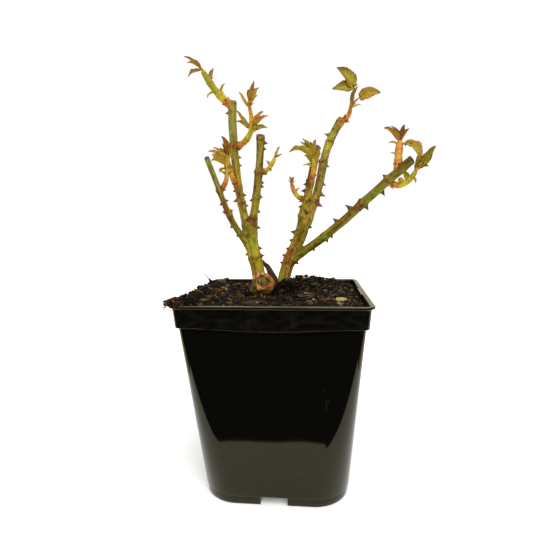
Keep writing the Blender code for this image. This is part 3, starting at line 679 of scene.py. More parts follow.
def build_pot(material):
    """The solid between outer and inner skins, with humps over the channels inside."""
    pot = stack("pot_shell", [square_ring(*row) for row in outside_rows()])
    lid = [square_ring(POT_HEIGHT + 3 * MM, 85.7 * MM, HEAD_CORNER - WALL)]
    cavity = stack("pot_cavity", [square_ring(*row) for row in reversed(inside_rows())] + lid)
    cut_by(cavity, [channel_cutter(side, WALL) for side in range(4)])
    drains = [drain_cutter(x * DRAIN_OFFSET, y * DRAIN_OFFSET) for x in (-1, 1) for y in (-1, 1)]
    cut_by(pot, [cavity] + [channel_cutter(side, 0.0) for side in range(4)] + drains)
    refinish(pot.data, material, plastic_dust_and_sheen)
    pot.data.set_sharp_from_angle(angle=radians(38.0))
    return pot


def plastic_dust_and_sheen(point):
    """Bare plastic with dust on the lip, and painted highlights on the lip, panel edges, ledge and foot
    top.
    """
    x, y, z = [c / MM for c in point]
    # Dust on the lip, which also stands for a painted highlight where light from above falls
    dust = smooth(z, 194.6, 195.5) * (0.55 + 0.45 * noise.noise(point * 90.0))
    if y < -84.0 and z > 172.0:
        # worn is a painted highlight along the panel's edges, and ledge a painted highlight line under
        # the band's ledge; both are added to dust
        worn = exp(-((x - 20.6) / 1.5) ** 2) + 0.5 * exp(-((x + 20.4) / 0.9) ** 2)
        worn *= smooth(z, 173.0, 178.0) * (1.0 - smooth(z, 189.0, 192.0))
        ledge = exp(-((z - 174.2 + 2.6 * cos(x / 54.0) ** 2) / 0.9) ** 2)
        dust += 0.16 * worn + 0.25 * ledge * smooth(x, -40.0, -10.0)
        dust += 0.07 * smooth(rough(x * 0.11, z * 0.25, 8.0), -0.3, 0.5)
    # A painted highlight line along the top of the foot
    foot = exp(-((z - 8.4) / 0.5) ** 2)
    return blend(PLASTIC, DUST_AND_SHEEN, dust * 0.62 + 0.4 * foot)


def gloss_plastic_finish():
    """Polished black plastic with fine flow waves, dust low down and a few dry scuffs."""
    finish = Finish(bpy.data.materials.new("pot_plastic"))
    place = finish.place()
    height = finish.add("ShaderNodeSeparateXYZ", {}, {0: place}, 2)
    waves = finish.noise(finish.stretch(place, (30.0, 30.0, 9.0)), 1.0, 1.0)
    grit = finish.noise(place, 2600.0, 2.0)
    scratches = finish.noise(finish.stretch(place, (260.0, 260.0, 45.0)), 1.0, 3.0, 0.7)
    scuff = scratches.within(0.66, 0.76) * finish.noise(place, 26.0, 2.0).within(0.50, 0.62)
    splash = (finish.noise(place, 420.0, 3.0, 0.7).within(0.64, 0.72)
              * (1.0 - height.within(0.0, 0.08)))
    dust = scuff * 0.45 + splash * 0.35
    lip = height.within(0.1940, 0.1954)
    return finish.dress(base_color=finish.mix(dust, finish.stored("tint"), DUST_AND_SHEEN),
                        roughness=0.05 + grit * 0.03 + dust * 0.30 + lip * 0.30,
                        normal=finish.bump(waves + grit * 0.004, 0.00022, 0.35),
                        ior=1.405, specular_tint=(1.0, 0.95, 0.58))


settle(build_pot(gloss_plastic_finish()), "pot", "pot")
# %% [markdown]
# ## The potting mix
# Potting mix for shrubs is dark peat and composted bark: round crumbs of many sizes, chips, and
# a few pale fibres.  Only the top shows, low and at a grazing angle, so its real relief matters
# more than its colour.  A displaced grid gives the clods; loose chips and fibres are scattered
# over it as real bodies, because a bump map would leave a smooth edge against the light.

# %% surface of the mix
MIX_LEVEL = 190.5 * MM
MIX_HALF = BAND_HEAD_HALF - WALL - 1.2 * MM
MIX_EDGE = 186.0 * MM
GRID = 190
CORNER_CELLS = 5
SOIL = palette(
    peat=(15, 11, 8), wet=(6, 5, 4), brown=(46, 33, 22),
    bark=(92, 68, 42), tan=(158, 130, 86), olive=(110, 102, 54),
    grey=(112, 106, 94), pale=(176, 164, 104), white=(220, 214, 198),
    rust=(92, 56, 36), moss=(46, 52, 32), lump=(66, 50, 36),
    # blue is a blue-black that stands for shade, mostly in the heaps at the cane feet
    blue=(20, 22, 30),
)


def mix_height(x, y):
    """The plain surface: heaped on the left and at the back, low on the right."""
    left = exp(-((x + 79.0 * MM) / (17.0 * MM)) ** 2)
    left *= 0.66 + 0.34 / (1.0 + exp((y - 5.0 * MM) / (30.0 * MM)))
    back = exp(-((x - 29.5 * MM) / (38.0 * MM)) ** 2 - ((y - 74.0 * MM) / (15.0 * MM)) ** 2)
    right = exp(-((x - 82.0 * MM) / (16.0 * MM)) ** 2)
    mound = exp(-((x - 12.0 * MM) / (17.0 * MM)) ** 2 - ((y - 10.0 * MM) / (17.0 * MM)) ** 2)
    crumbs = sin(x * 310.0 + 1.3) * sin(y * 270.0 + 0.4)
    crumbs += 0.7 * sin(x * 170.0 - y * 230.0 + 2.1)
    left *= 1.0 - 0.45 * smooth(y, 30.0 * MM, 75.0 * MM)
    from_wall = MIX_HALF - max(abs(x), abs(y))
    rise = 11.6 * left + 10.0 * back - 0.6 * right + 5.0 * mound + 1.1 * crumbs
    return min(MIX_LEVEL + MM * rise, 194.6 * MM + 1.2 * from_wall)


def crumb_rise(x, y):
    """Clods, crumbs and grit on top of the plain surface, in metres."""
    drift = Vector((x * 90.0, y * 90.0, 3.7))
    wander = noise.noise_vector(drift) * 0.25
    clods = noise.voronoi(Vector((x * 95.0, y * 95.0, 0.0)) + wander)[0][0]
    crumbs = noise.voronoi(Vector((x * 260.0, y * 260.0, 5.0)) + wander)[0][0]
    grit = rough(x * 900.0, y * 900.0, 1.0)
    return MM * (3.2 * (0.45 - clods) + 2.4 * (0.5 - crumbs) + 0.6 * grit)


def ground(x, y):
    """Height of the finished surface; it sinks a little at the wall."""
    edge = smooth(max(abs(x), abs(y)), MIX_HALF - 4.0 * MM, MIX_HALF)
    return mix_height(x, y) + crumb_rise(x, y) * (1.0 - 0.6 * edge) - 1.0 * MM * edge


def damp(x, y):
    """How wet and dark a patch of the surface is, from 0 to 0.92."""
    wide = rough(x * 85.0, y * 34.0, 1.5)
    narrow = rough(x * 210.0, y * 80.0, 7.5)
    return 0.92 * smooth(wide + 0.7 * narrow, -0.16, 0.16)


def soil_pigment_and_shade(x, y, z):
    """Peat with browner crumbs and bark flecks, painted shade in the hollows, and darker damp patches.
    """
    spot = Vector((x * 210.0, y * 210.0, z * 210.0))
    warm = noise.noise(spot) * 0.5 + 0.5
    # Painted shade: the low places between crumbs blend toward the near-black wet pigment
    colour = blend(SOIL["wet"], SOIL["peat"], smooth(crumb_rise(x, y), -1.2 * MM, 1.0 * MM))
    colour = blend(colour, SOIL["brown"], smooth(warm, 0.55, 0.85) * 0.8)
    fleck = noise.cell(Vector((x * 700.0, y * 700.0, 2.0)))
    if fleck > 0.90:
        colour = blend(colour, SOIL["bark"], 0.7)
    return blend(colour, SOIL["wet"], 0.8 * damp(x, y))


def rounded(a, b, half, corner):
    """Move a point of a square grid so that the square's corners become round."""
    flat = half - corner
    over_a, over_b = abs(a) - flat, abs(b) - flat
    if over_a <= 0.0 or over_b <= 0.0:
        return a, b
    far = max(over_a, over_b)
    if over_a >= over_b:
        turn = 0.25 * pi * over_b / over_a
    else:
        turn = 0.5 * pi - 0.25 * pi * over_a / over_b
    return (copysign(flat + far * cos(turn), a),
            copysign(flat + far * sin(turn), b))


def grid_stops():
    """Grid places from side to side, with whole cells inside the rounded corners."""
    corner = HEAD_CORNER - WALL
    flat = MIX_HALF - corner
    inner = GRID - 2 * CORNER_CELLS
    stops = [-MIX_HALF + corner * k / CORNER_CELLS for k in range(CORNER_CELLS)]
    stops += [-flat + 2.0 * flat * k / inner for k in range(inner + 1)]
    stops += [flat + corner * (k + 1) / CORNER_CELLS for k in range(CORNER_CELLS)]
    return stops


def build_mix(material):
    """The surface as a displaced grid, and rings down to the pot's floor inside its wall."""
    stops = grid_stops()
    count = len(stops)
    corner = HEAD_CORNER - WALL
    top = [rounded(a, b, MIX_HALF, corner) for b in stops for a in stops]
    top = [Vector((x, y, ground(x, y))) for x, y in top]
    shape = Shape()
    shape.add(top, grid_faces(count - 1, count), [soil_pigment_and_shade(*p) for p in top])
    edge = [0] + grid_rim(count - 1, count)[:0:-1]
    levels = [(MIX_EDGE, 1.0)]
    for k in range(9):
        share = 1.0 - k / 8.0
        half = wall_section(share)[0] - WALL - 0.6 * MM
        levels.append((FOOT_HEIGHT + 2 * WALL + (WALL_HEAD - FOOT_HEIGHT - 2 * WALL) * share,
                       half / MIX_HALF))
    levels.append((FLOOR + 0.4 * MM, (FOOT_HALF - WALL - 0.6 * MM) / MIX_HALF))
    previous = edge
    for z, scale in levels:
        drop = max(0.0, (MIX_EDGE - z) / MIX_EDGE)
        radius = corner + (FOOT_CORNER - corner) * drop
        flat = MIX_HALF * scale - radius
        ring = []
        for k in edge:
            x, y = top[k].x * scale, top[k].y * scale
            over_x, over_y = abs(x) - flat, abs(y) - flat
            if over_x > 0.0 and over_y > 0.0:
                reach = hypot(over_x, over_y)
                x = copysign(flat + over_x * radius / reach, x)
                y = copysign(flat + over_y * radius / reach, y)
            ring.append(Vector((x, y, z)))
        start = len(shape.points)
        low = list(range(start, start + len(edge)))
        shape.add(ring, [], [SOIL["wet"]] * len(edge))
        turned = zip(previous, low, low[1:] + low[:1], previous[1:] + previous[:1])
        shape.join(turned)
        previous = low
    shape.join([reversed(previous)])
    body = shape.make("mix_body", [material])
    cut_by(body, [channel_cutter(side, WALL + 0.4 * MM) for side in range(4)], "MANIFOLD")
    refinish(body.data, material, lambda point: soil_pigment_and_shade(*point))
    return body


def soil_finish():
    """Dull dark crumbs: pigment from the mesh, broken up by fine noise; matt, rough relief."""
    finish = Finish(bpy.data.materials.new("potting_mix"))
    place = finish.place()
    grit = finish.noise(place, 1400.0, 4.0, 0.7)
    patch = finish.noise(place, 160.0, 3.0)
    tint = finish.stored("tint")
    shadow = finish.mix(1.0, tint, (0.45, 0.40, 0.36), "MULTIPLY")
    bright = finish.mix(grit.within(0.60, 0.75) * 0.6, tint, SOIL["bark"])
    return finish.dress(base_color=finish.mix(grit.within(0.30, 0.55), shadow, bright),
                        roughness=0.95 - patch.within(0.55, 0.75) * 0.35,
                        normal=finish.bump(grit + patch * 0.5, 0.0012, 0.8),
                        specular_ior_level=0.12)


soil = soil_finish()
settle(build_mix(soil), "potting_mix", "potting_mix")

# %% [markdown]
# ## Chips, clods and fibres
# Bark chips are flat irregular slabs with broken edges, peat clods are lumpy balls, and fibres
# are bent hairs.  Scattering one instanced mesh would repeat; instead each body is made from
# its own random numbers and all of a kind are joined, so that no two are alike.

# %% loose bodies
LOOSE_SEED = 401
CHIP_COUNT, CLOD_COUNT, FLECK_COUNT, LARGE_COUNT, WALL_COUNT, FIBRE_COUNT = 1500, 380, 950, 170, 640, 420
CHIP_COLOURS = (("wet", 10), ("peat", 7), ("brown", 6), ("bark", 5), ("rust", 4), ("tan", 3),
                ("olive", 1.5), ("grey", 1.2), ("blue", 2))
LARGE_COLOURS = (("bark", 5), ("lump", 3), ("tan", 5), ("olive", 3), ("grey", 3), ("rust", 4),
                 ("moss", 2), ("wet", 4))
FLECK_COLOURS = (("bark", 5), ("tan", 6), ("olive", 3), ("grey", 2), ("rust", 2), ("pale", 0.8))


def pick_pigment(rng, weights, x=None, y=None):
    """One of the weighted pigments, muted a little, and darkened where the patch is damp."""
    total = sum(w for _, w in weights)
    draw = rng.uniform(0.0, total)
    for name, weight in weights:
        draw -= weight
        if draw <= 0.0:
            break
    pigment = blend(SOIL[name], SOIL["peat"], rng.uniform(0.0, 0.12))
    return pigment if x is None else blend(pigment, SOIL["wet"], damp(x, y))


def tumble(rng, lean):
    """A random turn about the vertical, tipped over by up to lean degrees."""
    heading = Matrix.Rotation(rng.uniform(0.0, 2.0 * pi), 3, "Z")
    tip = Matrix.Rotation(radians(rng.uniform(-lean, lean)), 3, "X")
    roll = Matrix.Rotation(radians(rng.uniform(-lean, lean)), 3, "Y")
    return heading @ tip @ roll


def add_chip(shape, rng, centre, size, turn, pigment, slim=0.5, thick=0.22):
    """An irregular slab: a broken outline swept through its thickness, edges worn, its underside
    darkened as painted shade.
    """
    count = rng.randint(6, 9)
    outline = []
    for k in range(count):
        a = 2.0 * pi * (k + rng.uniform(-0.25, 0.25)) / count
        reach = rng.uniform(0.72, 1.08)
        outline.append((0.5 * size * reach * cos(a), 0.5 * size * slim * reach * sin(a)))
    half = 0.5 * size * thick
    bend = rng.uniform(-0.25, 0.25) / size
    rings, tints = [], []
    for level, scale in ((-1.0, 0.80), (-0.55, 0.98), (0.5, 1.0), (1.0, 0.84)):
        ring = []
        for x, y in outline:
            z = half * level + bend * x * x + rng.uniform(-0.10, 0.10) * half
            ring.append(centre + turn @ Vector((x * scale, y * scale, z)))
        rings.append(ring)
        # Painted shade: the lower rings of each chip are darkened toward the near-black wet pigment
        tints.append([blend(pigment, SOIL["wet"], 0.30 if level < 0 else rng.uniform(0, 0.2))
                      for _ in ring])
    shape.rings(rings, tints)


def clod_mesh(detail):
    bm = bmesh.new()
    bmesh.ops.create_icosphere(bm, subdivisions=detail, radius=1.0)
    points = [v.co.copy() for v in bm.verts]
    faces = [tuple(v.index for v in f.verts) for f in bm.faces]
    bm.free()
    return points, faces


FINE_CLOD, COARSE_CLOD = clod_mesh(3), clod_mesh(2)


def add_clod(shape, rng, centre, radii, pigment, detail=COARSE_CLOD, lump=0.35):
    """A lumpy ball, with painted shade in its hollows."""
    points, faces = detail
    shift = Vector([rng.uniform(0, 50) for _ in range(3)])
    turn = tumble(rng, 60.0)
    placed, tints = [], []
    for p in points:
        swell = 1.0 + lump * noise.noise(p * 1.7 + shift) + 0.5 * lump * noise.noise(p * 4.0 + shift)
        body = turn @ (p * swell)
        placed.append(centre + Vector((body.x * radii[0], body.y * radii[1], body.z * radii[2])))
        # Painted shade: points that the noise pushes in blend toward the near-black wet pigment
        tints.append(blend(pigment, SOIL["wet"], smooth(-swell, -1.0, -0.75)))
    shape.add(placed, faces, tints)


def add_fibre(shape, rng, start, heading, length, radius, pigment, droop=0.3, wander=0.22):
    """A thin hair with a wandering course, five-sided and pinched at both ends."""
    rows, sides = 9, 5
    course = [start.copy()]
    step = heading.normalized() * (length / (rows - 1))
    for _ in range(rows - 1):
        bend = Vector((rng.uniform(-1, 1), rng.uniform(-1, 1), rng.uniform(-1, 1) - droop))
        step = step + bend * (wander * step.length)
        course.append(course[-1] + step)
    rings, tints = [], []
    for k, p in enumerate(course):
        ahead = (course[min(k + 1, rows - 1)] - course[max(k - 1, 0)]).normalized()
        side = ahead.orthogonal().normalized()
        other = ahead.cross(side)
        thin = radius * (0.35 if k in (0, rows - 1) else 1.0)
        rings.append(circle(p, side, other, thin, sides))
        tints.append([pigment] * sides)
    shape.rings(rings, tints)


def open_spot(x, y):
    """False where the canes and the knob stand."""
    return (hypot(x + 13 * MM, y) > 12 * MM and hypot(x - 6 * MM, y - 13 * MM) > 9 * MM)


def inside(x, y, reach):
    return max(-reach, min(reach, x)), max(-reach, min(reach, y))


def lay_chip(shape, rng, x, y, lift, size, colours, lean, slims, thicks):
    """A chip on the surface at x, y."""
    pigment = pick_pigment(rng, colours, x, y)
    turn = tumble(rng, lean)
    add_chip(shape, rng, Vector((x, y, ground(x, y) + lift)), size, turn, pigment,
             rng.uniform(*slims), rng.uniform(*thicks))


def scatter_loose():
    rng = random.Random(LOOSE_SEED)
    chips, crumbs, fibres = Shape(), Shape(), Shape()
    inner = MIX_HALF - 1.6 * MM

    def spot(share=1.0):
        return rng.uniform(-inner, inner) * share, rng.uniform(-inner, inner) * share

    made = 0
    while made < CHIP_COUNT:
        x, y = spot()
        size = (1.2 + 6.5 * rng.random() ** 3.2) * MM
        pigment = pick_pigment(rng, CHIP_COLOURS, x, y)
        turn = tumble(rng, 38.0)
        slim, thick = rng.uniform(0.35, 0.8), rng.uniform(0.16, 0.45)
        if open_spot(x, y):
            x, y = inside(x, y, inner - 0.45 * size)
            add_chip(chips, rng, Vector((x, y, ground(x, y) + 0.12 * size)), size, turn, pigment,
                     slim, thick)
            made += 1
    for _ in range(CLOD_COUNT):
        x, y = spot()
        radius = (0.8 + 2.2 * rng.random() ** 2) * MM
        x, y = inside(x, y, inner - 1.3 * radius)
        pigment = blend(SOIL["peat"], SOIL["brown"], rng.uniform(0.0, 0.9))
        add_clod(crumbs, rng, Vector((x, y, ground(x, y) + 0.2 * radius)),
                 (radius, radius * rng.uniform(0.7, 1.0), radius * rng.uniform(0.6, 0.9)), pigment)
    for _ in range(FLECK_COUNT):
        x, y = spot(0.985)
        size = (1.0 + 2.4 * rng.random() ** 1.6) * MM
        lay_chip(chips, rng, x, y, 0.5 * MM, size, FLECK_COLOURS, 60.0, (0.25, 0.6), (0.2, 0.5))
    for _ in range(LARGE_COUNT):
        x, y = spot(0.95)
        size = rng.uniform(4.5, 10.0) * MM
        pigment = pick_pigment(rng, LARGE_COLOURS, x, y)
        turn = tumble(rng, 30.0)
        if open_spot(x, y):
            add_chip(chips, rng, Vector((x, y, ground(x, y) + 0.6 * MM)), size, turn, pigment,
                     rng.uniform(0.3, 0.6), rng.uniform(0.16, 0.3))
    for k in range(WALL_COUNT):
        u, away = rng.uniform(-1.0, 1.0) * (MIX_HALF - 4.0 * MM), rng.uniform(1.0, 6.0) * MM
        away = away if k % 4 else 0.6 * MM
        wall = Vector((u, away - MIX_HALF, 0.0)) @ Matrix.Rotation(0.5 * pi * (k % 3), 3, "Z")
        size = (1.0 + 2.0 * rng.random()) * MM
        lay_chip(crumbs, rng, wall.x, wall.y, 0.3 * size, size,
                 CHIP_COLOURS if k % 5 else FLECK_COLOURS, 60.0, (0.3, 0.8), (0.2, 0.5))
    for _ in range(FIBRE_COUNT):
        x, y = spot(0.96)
        heading = Vector((rng.uniform(-1, 1), rng.uniform(-1, 1), rng.uniform(-0.1, 0.6)))
        pigment = blend(SOIL["brown"], SOIL["tan"], rng.random() ** 2)
        add_fibre(fibres, rng, Vector((x, y, ground(x, y) + 0.3 * MM)), heading,
                  rng.uniform(2, 9) * MM, rng.uniform(0.10, 0.24) * MM, pigment, 0.15)
    return chips, crumbs, fibres


chips, crumbs, fibres = scatter_loose()
print("loose points:", len(chips.points), len(crumbs.points), len(fibres.points))
# %% [markdown]
# ## What lies on top
# A few larger things give the surface its character: a pale slip of bark at the right, a smooth
# lump at the front, coarse clods and roots along the back rim, the spill over the front left
# corner, and one strand that leans out over the left rim.  Each is placed one by one.

# %% larger bits
# place in mm (height is above the surface), size in mm, turn, tilt, pigment, slim, thick
PLACED_CHIPS = (
    ((63.6, -39.5, 2.2), 12.5, 14, -34, "pale", 0.46, 0.12),
    ((37.4, -31.6, 1.2), 3.2, 40, -20, "white", 0.80, 0.30),
    ((34.2, -39.2, 1.0), 8.5, 12, -18, "grey", 0.42, 0.25),
    ((47.4, -33.4, 1.0), 10.0, -10, -15, "rust", 0.40, 0.30),
    ((37.8, 48.5, 3.0), 13.0, 25, -35, "moss", 0.55, 0.30),
    ((49.6, 23.8, 1.5), 6.5, -30, -30, "tan", 0.45, 0.30),
    ((79.0, 24.2, 1.5), 6.0, 60, -20, "olive", 0.60, 0.30),
    ((16.0, 78.0, 2.4), 6.0, 15, -35, "tan", 0.40, 0.40),
    ((28.0, 75.0, 0.6), 7.0, -40, -60, "bark", 0.50, 0.35),
    ((-69.8, 39.2, 2.0), 11.0, 5, -12, "tan", 0.12, 0.40),
    ((-40.0, -60.0, 1.2), 9.0, -35, -10, "bark", 0.45, 0.35),
    ((-62.0, -48.0, 1.5), 8.0, 50, -25, "rust", 0.50, 0.30),
    ((-50.0, 20.0, 1.5), 7.0, 20, -30, "brown", 0.50, 0.40),
    ((72.0, -62.0, 0.8), 7.0, 70, 10, "brown", 0.50, 0.30),
    ((12.0, -62.0, 0.8), 9.0, -15, -12, "brown", 0.55, 0.35),
)
# place, radii in mm, pigment, lumpiness
PLACED_CLODS = (
    ((-17.0, -47.0, -1.4), (15.0, 9.0, 4.4), "lump", 0.30),
    ((-34.0, -70.0, -0.6), (9.0, 6.0, 3.6), "peat", 0.35),
    ((24.0, -50.0, 0.0), (7.0, 5.0, 3.4), "brown", 0.35),
    ((55.0, -70.0, -0.4), (7.5, 5.0, 3.0), "peat", 0.35),
    ((-74.0, -66.0, -0.8), (6.0, 5.0, 3.6), "peat", 0.40),
    ((-77.0, -20.0, -0.6), (5.0, 5.6, 3.2), "brown", 0.40),
    ((-72.0, 8.0, -0.6), (5.4, 5.0, 3.2), "peat", 0.40),
    ((8.0, 80.0, -1.0), (4.0, 3.2, 3.0), "peat", 0.45),
    ((20.0, 79.0, -1.4), (4.6, 3.6, 3.2), "wet", 0.45),
    ((36.0, 78.0, -1.8), (5.0, 4.0, 3.6), "peat", 0.45),
    ((47.0, 79.0, -1.2), (4.0, 3.4, 3.2), "brown", 0.45),
    ((60.0, 77.0, -0.8), (4.4, 3.6, 2.8), "peat", 0.45),
)
# start in mm above the surface, heading, length, radius in mm, pigment
STRANDS = (
    ((-78.5, 36.0, 0.8), (-0.85, 0.0, 0.46), 14.5, 0.46, "brown"),
    ((14.0, 76.0, 0.5), (-0.7, 0.2, 0.5), 8.0, 0.35, "brown"),
    ((30.0, 78.0, 0.5), (-0.6, 0.0, 0.7), 6.0, 0.30, "bark"),
    ((40.0, 77.0, 0.5), (0.7, 0.1, 0.6), 7.0, 0.35, "brown"),
    ((50.0, 76.0, 0.5), (-0.3, 0.0, 0.9), 5.0, 0.25, "tan"),
    ((-70.0, -40.0, 1.5), (-0.8, -0.2, 0.5), 12.0, 0.30, "tan"),
    ((20.0, -20.0, 1.0), (0.9, -0.3, 0.2), 16.0, 0.30, "tan"),
    ((-45.0, -30.0, 1.0), (0.9, 0.3, 0.25), 15.0, 0.30, "bark"),
    ((60.0, 10.0, 1.0), (0.6, 0.6, 0.3), 12.0, 0.28, "tan"),
)
SPILL_PLACE = Vector((-84.6, -80.5, 196.0)) * MM
SPILL_RADII = Vector((9.8, 13.0, 5.8)) * MM
# place, radii in mm and number of bits of the heaps at the feet of the canes
FOOT_HEAPS = (((7.5, 1.0, 194.5), (11.0, 7.5, 14.0), 420), ((0.5, -4.0, 193.0), (9.0, 6.0, 9.0), 200),
              ((-31.0, -3.0, 191.5), (7.0, 7.0, 4.5), 90), ((19.0, 12.0, 194.0), (9.0, 9.0, 9.5), 220))
SPILL_COLOURS = (("brown", 7), ("rust", 6), ("bark", 3), ("wet", 3), ("peat", 4), ("tan", 1))
# The heaps at the cane feet are soil weighted to near-black and blue-black: partly soil colour, partly
# painted shade in the gap between the knob and the canes
HEAP_COLOURS = (("wet", 12), ("peat", 5), ("blue", 4), ("brown", 4), ("lump", 2), ("rust", 1.5),
                ("grey", 0.6), ("olive", 0.8))
LIP_HALF = 90.0 * MM
LIP_CLEAR = 0.3 * MM


def vec(triple):
    return Vector(triple) * MM


def above_mix(place):
    """A place given in mm, with its height above the surface, as a point."""
    x, y, rise = vec(place)
    return Vector((x, y, mix_height(x, y) + rise))


def over_lip(point):
    """Lift a point that would sink into the lip until it rests on it."""
    inside = max(abs(point.x), abs(point.y)) < LIP_HALF + LIP_CLEAR
    outside = max(abs(point.x), abs(point.y)) > MIX_HALF
    floor = POT_HEIGHT + LIP_CLEAR
    if inside and outside and point.z < floor:
        return Vector((point.x, point.y, floor + 0.02 * (point.z - floor)))
    return point


def add_bits():
    rng = random.Random(LOOSE_SEED + 1)
    for place, size, turn, tilt, name, slim, thick in PLACED_CHIPS:
        spin = Matrix.Rotation(radians(turn), 3, "Z") @ Matrix.Rotation(radians(-tilt), 3, "X")
        add_chip(chips, rng, above_mix(place), size * MM, spin, SOIL[name], slim, thick)
    for place, radii, name, lump in PLACED_CLODS:
        pigment = blend(SOIL[name], SOIL["brown"], 0.2)
        add_clod(crumbs, rng, above_mix(place), vec(radii), pigment, FINE_CLOD, lump)
    for place, heading, length, radius, name in STRANDS:
        add_fibre(fibres, rng, above_mix(place), Vector(heading), length * MM, radius * MM,
                  SOIL[name], 0.0, 0.10)


def add_heap(rng, place, radii, count, core, largest, colours, slabs):
    """A low mound of small clods and chips; core is how much of it is one solid clod."""
    if core:
        add_clod(crumbs, rng, place - Vector((0, 0, 0.15 * radii.z)), [r * core for r in radii],
                 SOIL["peat"], FINE_CLOD, 0.35)
    for k in range(count):
        a, climb = rng.uniform(0, 2 * pi), rng.uniform(-0.15, 1.0)
        flat = sqrt(max(0.0, 1.0 - climb * climb)) * rng.uniform(0.6, 1.0)
        spot = place + Vector((radii.x * flat * cos(a), radii.y * flat * sin(a),
                               radii.z * climb * 0.92))
        if k % 6:
            pigment = pick_pigment(rng, colours)
            add_chip(slabs, rng, spot, (1.2 + (largest - 1.2) * rng.random() ** 2) * MM,
                     tumble(rng, 60.0), pigment, rng.uniform(0.3, 0.8), rng.uniform(0.2, 0.5))
        else:
            size = rng.uniform(0.6, 0.42 * largest) * MM
            pigment = pick_pigment(rng, colours)
            add_clod(crumbs, rng, spot, (size, size * 0.9, size * 0.75), pigment)


def add_spill():
    """The heap over the front left corner, and the one round the foot of the right cane."""
    rng = random.Random(LOOSE_SEED + 2)
    first = (len(crumbs.points), len(chips.points), len(fibres.points))
    add_heap(rng, SPILL_PLACE, SPILL_RADII, 620, 0.58, 2.9, SPILL_COLOURS, chips)
    for _ in range(70):
        a = rng.uniform(0, 2 * pi)
        out = Vector((cos(a), sin(a), rng.uniform(-0.5, 0.6)))
        start = SPILL_PLACE + Vector([0.8 * r * c for r, c in zip(SPILL_RADII, out)])
        pigment = blend(SOIL["brown"], SOIL["bark"], rng.random())
        add_fibre(fibres, rng, start, out, rng.uniform(2.0, 4.5) * MM, 0.22 * MM, pigment, 0.2)
    for shape, start in zip((crumbs, chips, fibres), first):
        for k in range(start, len(shape.points)):
            shape.points[k] = over_lip(shape.points[k])
    for place, radii, count in FOOT_HEAPS:
        add_heap(rng, vec(place), vec(radii), count, 0.8, 3.4, HEAP_COLOURS, crumbs)


def dry_bits_finish():
    """Broken bark: pigment from the mesh, grain along the chip, rough and dusty."""
    finish = Finish(bpy.data.materials.new("bark_chips"))
    place = finish.place()
    fine = finish.noise(place, 1100.0, 4.0, 0.7)
    grain = finish.noise(finish.stretch(place, (500.0, 1500.0, 1500.0)), 1.0, 3.0)
    colour = finish.two_tone((fine * 0.6 + grain * 0.4).within(0.38, 0.62), (0.50, 0.46, 0.42),
                             (1.25, 1.20, 1.10))
    return finish.dress(base_color=colour, roughness=0.72 + fine * 0.15,
                        normal=finish.bump(fine + grain, 0.0006, 0.7), specular_ior_level=0.15)


add_bits()
add_spill()
chip_finish = dry_bits_finish()
settle(chips.make("bark_chips", [chip_finish], 40.0), "potting_mix")
settle(crumbs.make("peat_crumbs", [soil]), "potting_mix")
settle(fibres.make("root_fibres", [chip_finish]), "potting_mix")
# %% [markdown]
# ## The canes and boughs
# A rose cane is a tapering green shoot.  Its bark is smooth, with fine lengthwise ridges, a
# raised ring where each old leaf sat, a scar and a sleeping eye above it, and a thicker collar
# where a side bough leaves.  A curve with a bevel would give a plain pipe, so each limb is
# swept from rings whose points are pushed in and out by those features.  The limbs follow the
# same courses as the plain model, so each stands exactly where the solid was.

